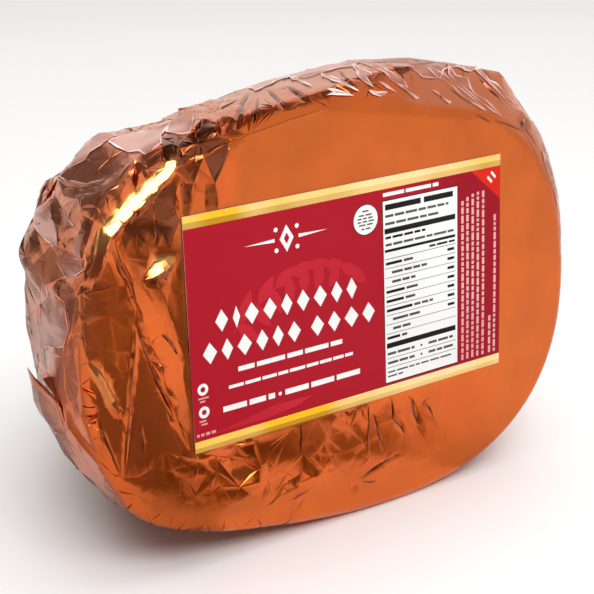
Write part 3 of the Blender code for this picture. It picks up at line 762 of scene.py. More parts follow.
# --- The sheet of foil ---
# One sheet of copper-lacquered aluminium foil. It is modelled as one fine net of facets, and every
# crease is an edge of that net. Rings part it into the cut face, the sides and the gathered end.
EVEN = 2.0 * MM
even = [crinkle_knots(chance, EVEN, -62 * MM, 62 * MM, 0.22),
        crinkle_knots(chance, 1.5 * EVEN, 62 * MM, 270 * MM, 0.22)]
even.append(np.array([(x, z) for x in range(-72, 73, 9) for z in range(-40, 41, 8)], float) * MM)
even = np.concatenate(even)
even = even[polar(even)[2] > 3 * MM]
# Under the label a coarse grid, which comes last, stands in for the fine net.
COARSE_KEPT = 170
gone_under = (np.abs(even[:, 0]) < 70 * MM) & (np.abs(even[:, 1]) < 39 * MM)
gone_under[-COARSE_KEPT:] = False
fine_points = [even[~gone_under]]
fine_edges = []
count = len(fine_points[0])


def add_lines(spots, edges):
    global count
    fine_points.append(spots)
    fine_edges.extend((a + count, b + count) for a, b in edges)
    count += len(spots)


control_loose = looseness(control_spots)
halfway_loose = looseness(control_spots[control_edges].mean(axis=1))
free_edges = [(a, b) for (a, b), slack in zip(control_edges, halfway_loose)
              if slack > 0.3 and not (is_level[a] or is_level[b] or (is_laid[a] and is_laid[b]))]
big_creases = [(a, b) for a, b in [*sharp_edges.tolist(), *free_edges]
               if max(control_loose[a], control_loose[b]) > 0.05]
add_lines(control_spots, big_creases)
add_lines(small_spots, [(a, b) for a, b in small_edges
                        if np.hypot(*(small_spots[a] - small_spots[b])) < 22 * MM])


def beside_line(spots, line):
    """How far each place lies to the right of a line as one walks it, how far along, and its length."""
    line = np.array(line) * MM
    lengths = np.linalg.norm(np.diff(line, axis=0), axis=1)
    along = np.concatenate([[0], lengths.cumsum()])
    best, where, side = np.full(len(spots), 1.0), np.zeros(len(spots)), np.ones(len(spots))
    for start, end, length, gone in zip(line, line[1:], lengths, along):
        part = np.clip(((spots - start) @ (end - start)) / length**2, 0, 1)
        away = np.linalg.norm(spots - (start + part[:, None] * (end - start)), axis=1)
        where = np.where(away < best, gone + part * length, where)
        step, from_start = end - start, spots - start
        turned = step[0] * from_start[:, 1] - step[1] * from_start[:, 0]
        side = np.where(away < best, np.where(turned > 0, -1, 1), side)
        best = np.minimum(best, away)
    return best * side, where, along[-1]


# Pinches: how high each stands (a valley is below 0), its width on the left and right, and its line.
PINCHES = (
    (-0.5, 0.8, 0.8, ((72.5, 59.4), (80.5, 56.8), (86.9, 54.2), (93, 51.5))),
    (-0.4, 0.7, 0.7, ((89.5, 57.5), (94.2, 52.6), (97.5, 48.3), (100.4, 42.5))),
    (2.2, 0.4, 5, ((-178.3, -18.4), (-150.8, -17.3), (-139.7, -22.5))),
    (1.6, 3, 0.4, ((-140.4, 67.9), (-134.8, 56.6), (-130.3, 50.7))),
    (1.3, 3.5, 0.4, ((-134.3, -20.3), (-131.7, -31.2), (-122.9, -36.5), (-116.2, -42))),
    (0.9, 1, 1, ((-108.5, 46.5), (-109.9, 41.5), (-112.2, 35.2), (-115.8, 29.9), (-121.6, 24.9))),
    (0.8, 0.8, 0.8, ((-103.9, 40.4), (-102.2, 33.3), (-99.1, 26.1))),
    (-0.8, 0.8, 0.8, ((-103.9, 37.7), (-101.9, 30.6), (-99.8, 25.3))),
    (0.7, 0.7, 0.7, ((-102.7, 39.6), (-100.5, 32.3), (-97.6, 25.3), (-96.3, 17.5))),
    (0.6, 0.8, 0.8, ((-92.2, 66.6), (-98.2, 62.2), (-105.3, 58.9))),
    (-0.5, 0.8, 0.8, ((-131.4, 71.4), (-117.5, 65.6), (-105.5, 63.6))),
    (0.4, 0.8, 0.8, ((-129.1, 72.8), (-116, 66.2), (-106.7, 65))),
    (0.5, 0.6, 0.6, ((-75.1, 68.1), (-73.7, 67.4), (-71.1, 67.4))),
    (0.8, 0.8, 0.8, ((-96.6, 9.3), (-99.1, -2.1), (-101.5, -12.4), (-103.4, -27), (-105.2, -43.3))),
    (-0.6, 0.9, 0.9, ((-118.1, 15.1), (-118.3, 8.7), (-117.1, 0.7))),
    (0.9, 1.6, 1.6, ((-116.8, -1), (-112, -9.8), (-107.2, -23.3))),
    (-0.8, 0.9, 0.9, ((-114.4, -21.3), (-112.4, -30.2), (-107.8, -44))),
    (-0.7, 0.8, 0.8, ((-98.3, -28.4), (-97.2, -35.6), (-97.6, -40.4))),
    (0.6, 0.8, 0.8, ((-87, 4.5), (-83.1, -0.5), (-80.1, -6))),
    (-0.6, 0.8, 0.8, ((-97.5, 10.1), (-94.1, -1.4), (-90.5, -12.4), (-84.4, -28.7))),
    (0.5, 0.7, 0.7, ((-35.9, -72.4), (-40.2, -74.8), (-44.7, -77.4))),
    (0.3, 0.6, 0.6, ((-52.9, 69), (-40.5, 71.1), (-28, 73.2), (-17.3, 74.4), (-8, 75.3))),
    (-0.5, 0.8, 0.8, ((62.3, 63.1), (66.8, 61.1), (71.6, 58.6))),
    (0.5, 0.8, 0.8, ((28.1, 80.4), (31.2, 76.1), (35.2, 72.6))),
    (0.5, 0.7, 0.7, ((52.6, 77.7), (59, 70.9), (66.8, 63.9))),
    (0.5, 0.7, 0.7, ((74.7, 78.2), (77.5, 70.2), (83.6, 63.1))),
    (0.5, 0.7, 0.7, ((11.5, 109), (3.2, 88.3), (6, 80.2))),
    (0.4, 0.6, 0.6, ((-5.9, 83.6), (-2.2, 80.8), (3, 78.6))),
    (-0.5, 0.8, 0.8, ((-44.1, 72.5), (-42, 76.9), (-37, 88.9))),
    (0.4, 0.6, 0.6, ((45.2, 79.7), (53.2, 80.3))),
    (0.4, 0.6, 0.6, ((45.4, 75.2), (48.3, 71.9), (51, 70))),
    (0.4, 0.6, 0.6, ((-4.6, 112.3), (-9.6, 97.2), (-12.5, 85.5))),
    (-0.6, 0.7, 0.7, ((-28.1, -47.3), (-27.7, -53.1), (-29, -59.4))),
    (0.6, 0.6, 0.6, ((6, -47.8), (5.8, -54.8), (4.6, -61.7), (5.1, -70.2))),
    (-0.7, 0.8, 0.8, ((8.2, -52.8), (10.4, -60.6), (12.3, -69.8))),
    (-0.8, 0.9, 0.9, ((17.3, -47.7), (18.4, -57), (22.4, -61.7), (23.8, -65.2))),
    (-0.7, 1.2, 1.2, ((27.7, -50.1), (29.6, -57.4), (31.9, -63.7))),
    (-0.6, 0.8, 0.8, ((34.5, -53.3), (36.7, -56.3), (39.2, -60.7))),
    (-0.9, 1.1, 1.1, ((0.3, -78.8), (6.5, -76.7), (13.2, -74.8), (20.7, -72.7))),
    (-0.5, 0.6, 0.6, ((1.3, -79.7), (5.2, -81.5), (9.1, -81.8))),
    (0.5, 0.6, 0.6, ((-33.1, -78.1), (-29.3, -77.1), (-24.3, -76.1))),
    (-1.1, 2, 2, ((-33.7, 105.3), (-42.6, 92), (-50.7, 72.3))),
    (-0.7, 1.1, 1.1, ((-34.7, 93.9), (-43, 74.5))),
    (-0.8, 1.3, 1.3, ((-26, 102.8), (-29.8, 76.8))),
    (-1, 1.9, 1.9, ((-17.1, 100.7), (-18.7, 79.3))),
    (-0.6, 1, 1, ((16.5, 103.4), (3.5, 83.1))),
)


STEEPEST_PINCH = 0.55


def pinch_height(spots, height, left_width, right_width, line):
    """A tent of foil along a line, dying away at both its ends."""
    across, along, length = beside_line(spots, line)
    taper = np.clip(np.minimum(along, length - along) / (0.3 * length), 0, 1)
    width = np.where(across < 0, left_width, right_width) * MM
    height = math.copysign(min(abs(height), STEEPEST_PINCH * max(left_width, right_width)), height)
    return height * MM * np.clip(1 - np.abs(across) / width, 0, 1) * taper


# Broad folds that lie over the rest: their lines, their heights from left to right, and how strong a
# painted highlight lies along the top of each.
FOLDS = (
    (((-114, 26), (-109.4, 38), (-106.5, 44.5), (-100.5, 49.7), (-93.8, 54), (-87.2, 58.4), (-79.7, 63.3),
      (-75, 67.5)), ((-6, -1.6), (-2.1, -1.2), (-0.7, -0.55), (1, 0.6), (2.2, 1.6), (5.5, 0)), 1),
    (((-93, 25), (-86.7, 29.2), (-79, 31)),
     ((-5, -0.8), (-1.8, -0.9), (-0.8, -0.5), (1, 0.7), (2.2, 1.7), (8, 0)), 1),
    (((-76.3, -44), (-79.8, -29.4), (-83.2, -14.8), (-84.9, -6.7), (-89, 4.6), (-92.2, 15), (-95.4, 21.3),
      (-98.5, 28)), ((-6.5, 0), (-4, 1), (-3.6, 1.1), (3.4, -0.2), (3.8, -0.3), (6.5, 0)), 0),
    (((-106.1, -46), (-104, -32.8), (-101.4, -21), (-98.8, -7.1), (-96.7, 8.2)),
     ((-3.2, 0), (-1.4, 0.75), (-1.2, 0.8), (1.3, 0.15), (1.5, 0.1), (3, 0)), 0),
    (((-105.3, -24.6), (-108.9, -16.8), (-111.6, -9.6), (-113.9, -4.2), (-117.1, 0.2)),
     ((-3.2, 0), (-1.7, 0.1), (-1.4, 0.25), (1.2, 0.95), (1.5, 1), (3, 0)), 0.3),
)


# Patches of painted shade, where the foil's facets should mirror dark: how dark, and the patch's outline.
PAINTED_SHADE_PATCHES = (
    (0.95, ((-65.2, 65), (-61.1, 66.2), (-54.6, 68.6), (-55.3, 65.8), (-56.6, 62.6), (-58.9, 58.8),
        (-61.3, 55.4), (-62.3, 57.2), (-63.4, 60.7))),
    (0.65, ((-66, 65.1), (-67.8, 62), (-69.4, 58.3), (-71.2, 54.5), (-72.3, 50.3), (-72.8, 45.1),
        (-74.5, 43.8), (-75, 48.6), (-75.3, 53.2), (-75.5, 56.8), (-72, 56.5), (-74.5, 60.2),
        (-76.6, 62.2), (-74.1, 63), (-69.9, 63.6))),
    (0.45, ((-65.3, 55.3), (-61.5, 54.7), (-60.7, 51.1), (-60.6, 44.8), (-65.1, 44.6), (-65.3, 50.3))),
    (0.85, ((-85.1, 55.3), (-78, 57.7), (-77.4, 55.8), (-77.9, 51.2), (-77.9, 46.6), (-76.6, 43.5),
        (-79.6, 39.6), (-80.9, 34.2), (-83.6, 40.8), (-86, 36.4), (-87, 46.1), (-86.3, 50.3))),
    (0.75, ((-96.4, 47.7), (-90.8, 51.3), (-85.6, 55.1), (-86.8, 50.5), (-87.8, 46.3), (-87, 40.2),
        (-89.2, 42.8), (-92.6, 37.2), (-95.4, 41.9), (-98.6, 38.9), (-100.2, 42.6))),
    (0.3, ((-100, 42.4), (-98.2, 35.5), (-96.6, 29), (-95, 23.6), (-92.9, 21.8), (-92.2, 27), (-90.6, 31.6),
        (-88.6, 35.4), (-85.9, 36.3), (-82.8, 34.9), (-80.4, 31), (-79, 25.4), (-76.9, 21.6), (-76.6, 32.2),
        (-76.7, 41.5), (-86, 42))),
    (0.6, ((-135.6, 44.2), (-131.1, 39), (-128.2, 32.4), (-134.6, 30.1), (-141.5, 28.3), (-145.2, 36.8))),
    (0.55, ((-159.1, 58.9), (-147.5, 49.6), (-142.6, 46.8), (-141.9, 43.4), (-148.1, 38.6),
        (-152.5, 34.6), (-158.6, 44.5))),
    (0.6, ((-115.5, 50.5), (-111.9, 50.2), (-113.2, 45.1), (-114.7, 38.1), (-119.2, 41),
        (-117.2, 46.1))),
    (0.6, ((-129.2, 58.7), (-121.8, 50.2), (-130.1, 49.2), (-129.5, 53.7))),
    (0.65, ((-131.7, 29.6), (-124.6, 29), (-118.6, 22.7), (-119.6, 15.8), (-124, 11.7), (-125.2, 17.1),
        (-129.6, 23.8))),
    (0.8, ((-80.8, 71.6), (-82, 77.8), (-78.3, 80.3), (-71.6, 74.4), (-65.5, 77.8), (-61.9, 80.8),
        (-58.8, 76.4), (-58.3, 71.3), (-54, 69.6), (-59.8, 68.3), (-65, 66.7), (-70.9, 65.5),
        (-74.2, 63.7), (-77.6, 63.6), (-79.7, 65.9))),
)


def inside_outline(places, outline):
    """Which of the places lie inside a closed outline."""
    inside = np.zeros(len(places), bool)
    for (x0, z0), (x1, z1) in zip(outline, [*outline[1:], outline[0]]):
        if z0 != z1:
            crosses = (z0 > places[:, 1]) != (z1 > places[:, 1])
            inside ^= crosses & (places[:, 0] < (x1 - x0) * (places[:, 1] - z0) / (z1 - z0) + x0)
    return inside


def right_of(steps):
    """The way to the right of each step."""
    return np.stack([steps[:, 1], -steps[:, 0]], axis=1) / np.linalg.norm(steps, axis=1)[:, None]


def walk_round(outline, spacing):
    """Places at an even spacing round a closed outline, and the way out of it at each."""
    outline = np.array(outline, float)
    steps = np.roll(outline, -1, axis=0) - outline
    lengths = np.linalg.norm(steps, axis=1)
    places = np.concatenate([start + step * np.arange(0, 1, 1 / max(1, round(length / spacing)))[:, None]
                             for start, step, length in zip(outline, steps, lengths)])
    turned_left = (outline[:, 0] * steps[:, 1] - outline[:, 1] * steps[:, 0]).sum() > 0
    aside = right_of(np.roll(places, -1, axis=0) - np.roll(places, 1, axis=0))
    return places, aside if turned_left else -aside


def fold_width(along, length):
    """A fold is broad in the middle, ragged, and narrow at both its ends."""
    swelling = 0.35 + 0.65 * np.sin(math.pi * np.clip(along / length, 0, 1)) ** 0.6
    return swelling * (1 + 0.12 * np.sin(along * 900))


def crease_alongside(line, shifts, breadth=1.0):
    """Adds rows of creases along a line, each shifted to its right by so many mm."""
    to_right = right_of(np.gradient(line, axis=0))
    for shift in shifts:
        row = line + to_right * shift * breadth * MM
        add_lines(row, [(i, i + 1) for i in range(len(row) - 1)])


for height, left_width, right_width, line in PINCHES:
    crease_alongside(np.array(line) * MM, (right_width, 0, -left_width))
for line, profile, highlight_strength in FOLDS:
    line = np.array(line) * MM
    gone = np.concatenate([[0], np.linalg.norm(np.diff(line, axis=0), axis=1).cumsum()])
    crease_alongside(line, [shift for shift, _ in profile], fold_width(gone, gone[-1])[:, None])
# The patches of painted shade get crisp edges in the net.
PATCH_SPACING, PATCH_RIM, PATCH_REACH = 1.5, 0.45, 0.2
for painted_darkness, outline in PAINTED_SHADE_PATCHES:
    places, outward_from_it = walk_round(outline, PATCH_SPACING)
    add_lines(places * MM, edges_round(len(places)))
    add_lines((places + PATCH_RIM * outward_from_it) * MM, edges_round(len(places)))
RING_BEARINGS = np.arange(0, 360, 1.5)
ring_pairs = edges_round(len(RING_BEARINGS))
FIRST_CUT, SECOND_CUT, TIP_GAP = 17 * MM, 95 * MM, 1.5 * MM
for cut in (FIRST_CUT, SECOND_CUT):
    add_lines(from_polar(RING_BEARINGS, np.full(len(RING_BEARINGS), cut)), ring_pairs)
tip_reach = read_round(whole_reach - face_reach, RING_BEARINGS) - TIP_GAP
add_lines(from_polar(RING_BEARINGS, tip_reach), ring_pairs)
fine, fine_triangles, made = join_points((np.concatenate(fine_points) / MM).tolist(), fine_edges, 0.01)
fine *= MM
net_edges = np.array(made[1])
held = np.zeros(len(fine), bool)
for edge, was in zip(made[1], made[4]):
    if was and was[0] < len(big_creases):
        held[list(edge)] = True
middle = fine[fine_triangles].mean(axis=1)
middle_past, middle_left = polar(middle)[1:]
fine_triangles = fine_triangles[middle_left > TIP_GAP]
middle_past = middle_past[middle_left > TIP_GAP]

# Where each point of the net ends up: flat facets between the large creases, then the small ones.
even_place, outward = read_table(pack_table, fine), read_outward(fine)
control_places = read_table(pack_table, control_spots)
control_places += read_outward(control_spots) * control_heights[:, None]
loose = looseness(fine)
painted_shade = np.zeros(len(fine))
# Each crushed knot loosens the sheet; the most deeply crushed also gets painted shade.
for crushed_x, crushed_z, reach, depth in CRUSHED:
    crush = np.exp(-((away_from(fine, crushed_x, crushed_z) / reach) ** 2))
    loose = np.maximum(loose, 0.9 * crush)
    painted_shade = np.maximum(painted_shade, 0.2 * max(0, depth - 1) * crush)
faceted = read_facets(control_spots, control_triangles, control_places, fine)
drawn_in = faceted - even_place
EASING_PASSES = 30
neighbours = np.zeros(len(fine))
np.add.at(neighbours, net_edges.ravel(), 1)
for _ in range(EASING_PASSES):
    summed = np.zeros_like(drawn_in)
    np.add.at(summed, net_edges[:, 0], drawn_in[net_edges[:, 1]])
    np.add.at(summed, net_edges[:, 1], drawn_in[net_edges[:, 0]])
    drawn_in = np.where(held[:, None], drawn_in, 0.4 * drawn_in + 0.6 * summed / neighbours[:, None])
painted_highlight, painted_fold_shadow = np.zeros(len(fine)), np.zeros(len(fine))
for line, profile, highlight_strength in FOLDS:
    across, along, length = beside_line(fine, line)
    broad = fold_width(along, length)
    across = across / broad
    shifts = np.array([shift for shift, _ in profile]) * MM
    rise = broad * np.interp(across, shifts, np.array([height for _, height in profile]) * MM)
    over = np.interp(across, shifts, (0, 1, 1, 1, 1, 0))
    over *= np.clip(np.minimum(along, length - along) / (3 * MM), 0, 1)
    drawn_in = drawn_in * (1 - over[:, None]) + outward * (rise * over)[:, None]
    # A highlight is painted along the top of each fold, as strong as the fold's last number.
    fading = ramp(along, 0.16 * length, 0.34 * length) * ramp(length - along, 0, 0.1 * length)
    highlight_along_top = highlight_strength * over * fading * ramp(np.abs(across), 3.4 * MM, 2.0 * MM)
    painted_highlight = np.maximum(painted_highlight, highlight_along_top)
    # Along the foot of the brightest folds a shadow is painted.
    foot_of_fold = ramp(across, 2.2 * MM, 3.2 * MM) * ramp(across, 8 * MM, 4.5 * MM)
    painted_fold_shadow = np.maximum(painted_fold_shadow, 0.8 * (highlight_strength > 0.5) * over * foot_of_fold)
small_relief = read_facets(small_spots, small_triangles, small_heights, fine)
bearing, past, left = polar(fine)
foil_points = even_place + loose[:, None] * drawn_in
foil_points += outward * (loose * small_relief)[:, None]
# The bundled sheet swells out over the upper left corner, and is drawn in again below it: each swell
# has its bearing and spread in degrees, its distance past the face's edge and spread, and its height.
SWELLS = ((43, 4.5, 24, 14, 3), (142, 5.5, 38, 22, 4), (151, 4.5, 45, 18, -3.5), (162.5, 5, 45, 18, 5.5),
          (172.5, 5, 52, 22, -7), (181, 6, 50, 22, -5), (192, 5, 45, 20, 1.5))
for centre, spread, past_centre, past_spread, height in SWELLS:
    swell = hill(bearing, centre, spread) * np.exp(-(((past / MM - past_centre) / past_spread) ** 2))
    foil_points += outward * (height * MM * swell)[:, None]
# Painted shade follows each pinch: darkest in a valley, lighter along a ridge.
VALLEY_PAINTED_SHADE, RIDGE_PAINTED_SHADE = 1.6, 0.6
for pinch in PINCHES:
    tent = pinch_height(fine, *pinch)
    foil_points += outward * tent[:, None]
    full = STEEPEST_PINCH * MM * max(pinch[1:3])
    painted_darkness = VALLEY_PAINTED_SHADE if pinch[0] < 0 else RIDGE_PAINTED_SHADE
    painted_shade = np.maximum(painted_shade, painted_darkness * np.abs(tent) / full)
FLOOR_GAP = 0.2 * MM
foil_points[:, 2] = np.maximum(foil_points[:, 2], -FACE[2] + FLOOR_GAP)


def facet_crosses(points, triangles):
    """Each triangle's way out, as long as twice its area."""
    a, b, c = (points[triangles[:, corner]] for corner in range(3))
    return np.cross(b - a, c - a)


def corner_normals(points, triangles, crease_angle):
    """A normal for each corner of each triangle: smooth over gentle bends, broken at creases."""
    cross = facet_crosses(points, triangles)
    size = np.linalg.norm(cross, axis=1, keepdims=True)
    flat = cross / np.maximum(size, 1e-15)
    corners = triangles.ravel()
    owner = np.repeat(np.arange(len(triangles)), 3)
    order = np.argsort(corners, kind="stable")
    of_vertex = corners[order]
    start = np.searchsorted(of_vertex, of_vertex, side="left")
    many = np.searchsorted(of_vertex, of_vertex, side="right") - start
    own = flat[owner[order]]
    total = np.zeros_like(own)
    limit = np.cos(np.radians(crease_angle))[owner[order]]
    place = np.arange(len(order)) - start
    for step in range(int(many.max())):
        other = owner[order[start + (place + step) % many]]
        beside = flat[other]
        alike = ((beside * own).sum(axis=1) > limit) & (step < many)
        total += np.where(alike[:, None], beside * np.sqrt(size[other]), 0)
    total /= np.maximum(np.linalg.norm(total, axis=1, keepdims=True), 1e-15)
    result = np.empty_like(total)
    result[order] = np.where(np.linalg.norm(total, axis=1, keepdims=True) > 0.5, total, own)
    return result.reshape(-1, 3, 3)


# Every facet faces outward, and a fan of facets closes the tip behind.
facing = (facet_crosses(foil_points, fine_triangles) * outward[fine_triangles[:, 0]]).sum(axis=1)
if np.median(facing) < 0:
    fine_triangles = fine_triangles[:, ::-1]
tip = len(foil_points)
tip_ring = np.flatnonzero(np.abs(left - TIP_GAP) < 0.02 * MM)
tip_ring = tip_ring[np.argsort(bearing[tip_ring])]
foil_points = np.vstack([foil_points, foil_points[tip_ring].mean(axis=0)])
loose, past = np.append(loose, 1.0), np.append(past, 0.3)
fan = np.stack([np.roll(tip_ring, -1), tip_ring, np.full(len(tip_ring), tip)], axis=1)
if facet_crosses(foil_points, fan)[:, 1].mean() < 0:
    fan = fan[:, ::-1]
# Round the sides the copper turns rosy: partly the clear film's own tint over the foil, partly a
# painted sheen for the pale light the sides mirror at a slant. Most so on the left and behind, half so
# over the top, and strongly on the right wall and the upper left. Low on the left it starts farther back.
low_left = np.append(hill(bearing, 202, 26), 0)
film_tint_and_sheen = ramp(past, (6 + 12 * low_left) * MM, (24 + 22 * low_left) * MM)
film_tint_and_sheen[:-1] *= 0.5 + 0.5 * ramp(bearing, 112, 136) * ramp(bearing, 275, 250)
right_wall = 0.85 * ramp(past[:-1], 2 * MM, 4.5 * MM) * ramp(bearing, 80, 62) * ramp(bearing, 5, 30)
upper_left = hill(bearing, 152, 20) * ramp(past[:-1], -6 * MM, 4 * MM)
film_tint_and_sheen[:-1] = np.maximum(film_tint_and_sheen[:-1], np.maximum(right_wall, upper_left))
# Painted shade fills each patch.
for painted_darkness, outline in PAINTED_SHADE_PATCHES:
    places, outward_from_it = walk_round(outline, PATCH_SPACING)
    in_painted_patch = inside_outline(fine, ((places + PATCH_REACH * outward_from_it) * MM).tolist())
    painted_shade[in_painted_patch] = np.maximum(painted_shade[in_painted_patch], painted_darkness)
painted_shade = np.append(np.clip(np.maximum(painted_shade, painted_fold_shadow), 0, 1), 0)
painted_highlight = np.append(painted_highlight, 0)
foil_triangles = np.vstack([fine_triangles, fan])
triangle_past = np.append(middle_past, np.full(len(fan), 1.0))
# A bend sharper than this, in degrees, shows as a crease. The left rim and the foot bend round smoothly.
SHARP_BEND, MORE_ON_RIM = 24, 26
middle_bearing = np.append(polar(middle[middle_left > TIP_GAP])[0], np.zeros(len(fan)))
round_rim = np.maximum(hill(middle_bearing, 200, 38), hill(middle_bearing, 268, 46))
round_rim *= hill(triangle_past / MM, 3, 13)
foil_normals = corner_normals(foil_points, foil_triangles, SHARP_BEND + MORE_ON_RIM * round_rim)


# The copper lacquer: golden and satin where the sheet is taut, redder and brighter where it is
# crumpled, rosy round the sides from the film's tint and a painted sheen, brown with painted shade in
# creases, knots and patches, and pale with a painted highlight along the tops of the broad folds.
TAUT_COPPER, CREASED_COPPER, FILM_AND_SHEEN_COPPER = (0.72, 0.145, 0.0135), (0.74, 0.132, 0.012), (0.70, 0.21, 0.095)
SHADE_PAINTED_COPPER, HIGHLIGHT_PAINTED_COPPER = (0.17, 0.040, 0.008), (0.95, 0.44, 0.13)
copper_foil = bpy.data.materials.new("copper foil")
copper_foil.use_nodes = True
lacquer = copper_foil.node_tree
shader = lacquer.nodes["Principled BSDF"]
set_inputs(shader, Metallic=1.0, Coat_Weight=0.5, Coat_Roughness=0.08, Coat_IOR=1.5)
on_foil = lacquer.nodes.new("ShaderNodeTexCoord").outputs["Object"]


def foil_mark(name):
    """How strongly the sheet bears one of the marks that are stored on its net."""
    mark = lacquer.nodes.new("ShaderNodeAttribute")
    mark.attribute_name = name
    return mark.outputs["Fac"]


copper = mixed(lacquer, foil_mark("crumpled"), TAUT_COPPER, CREASED_COPPER)
# Painted shade, a painted highlight and the film's tint with a painted sheen are mixed into the copper.
MARKED_COPPER = {"film_tint_and_sheen": FILM_AND_SHEEN_COPPER, "painted_shade": SHADE_PAINTED_COPPER, "painted_highlight": HIGHLIGHT_PAINTED_COPPER}
for mark_name, mark_shade in MARKED_COPPER.items():
    copper = mixed(lacquer, foil_mark(mark_name), copper, mark_shade)
mottled = even_step(lacquer, cloudy(lacquer, on_foil, 55.0, 5.0), 0.33, 0.62, 0.90, 1.03)
lacquer.links.new(mixed(lacquer, 1.0, copper, mottled, "MULTIPLY"), shader.inputs["Base Color"])
dents, crinkle = cloudy(lacquer, on_foil, 38.0, 1.5), cloudy(lacquer, on_foil, 420.0, 3.0)
satin = even_step(lacquer, foil_mark("crumpled"), 0.0, 0.6, 0.29, 0.17)
lacquer.links.new(reckon(lacquer, "MULTIPLY_ADD", dents, 0.10, satin), shader.inputs["Roughness"])
soft_dents = bumpy(lacquer, dents, 1.0, 0.22 * MM)
lacquer.links.new(bumpy(lacquer, crinkle, 0.5, 0.02 * MM, soft_dents), shader.inputs["Normal"])


def smooth_mesh(name, points, faces):
    """A mesh with smooth faces, its points being given from the middle of the cut face."""
    mesh = bpy.data.meshes.new(name)
    mesh.from_pydata((points + FACE).tolist(), [], faces.tolist())
    mesh.shade_smooth()
    return mesh


def store_marks(mesh, marks):
    for name, values in marks.items():
        layer = mesh.attributes.new(name, "FLOAT", "POINT")
        layer.data.foreach_set("value", values.astype(np.float32))


def foil_piece(name, chosen):
    """Makes the chosen facets of the net into one piece of the pack."""
    triangles, normals = foil_triangles[chosen], foil_normals[chosen]
    used, index = np.unique(triangles, return_inverse=True)
    mesh = smooth_mesh(name, foil_points[used], index.reshape(-1, 3))
    mesh.normals_split_custom_set(normals.reshape(-1, 3).tolist())
    store_marks(mesh, {"crumpled": loose[used], "film_tint_and_sheen": film_tint_and_sheen[used], "painted_shade": painted_shade[used],
                       "painted_highlight": painted_highlight[used]})
    mesh.materials.append(copper_foil)
    piece = put_in_scene(name, mesh)
    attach(piece, "root")
    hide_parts("foil_pack")


foil_piece("foil_over_cut_face", triangle_past < FIRST_CUT)
foil_piece("foil_round_the_sides", (triangle_past >= FIRST_CUT) & (triangle_past < SECOND_CUT))
foil_piece("foil_gathered_end", triangle_past >= SECOND_CUT)
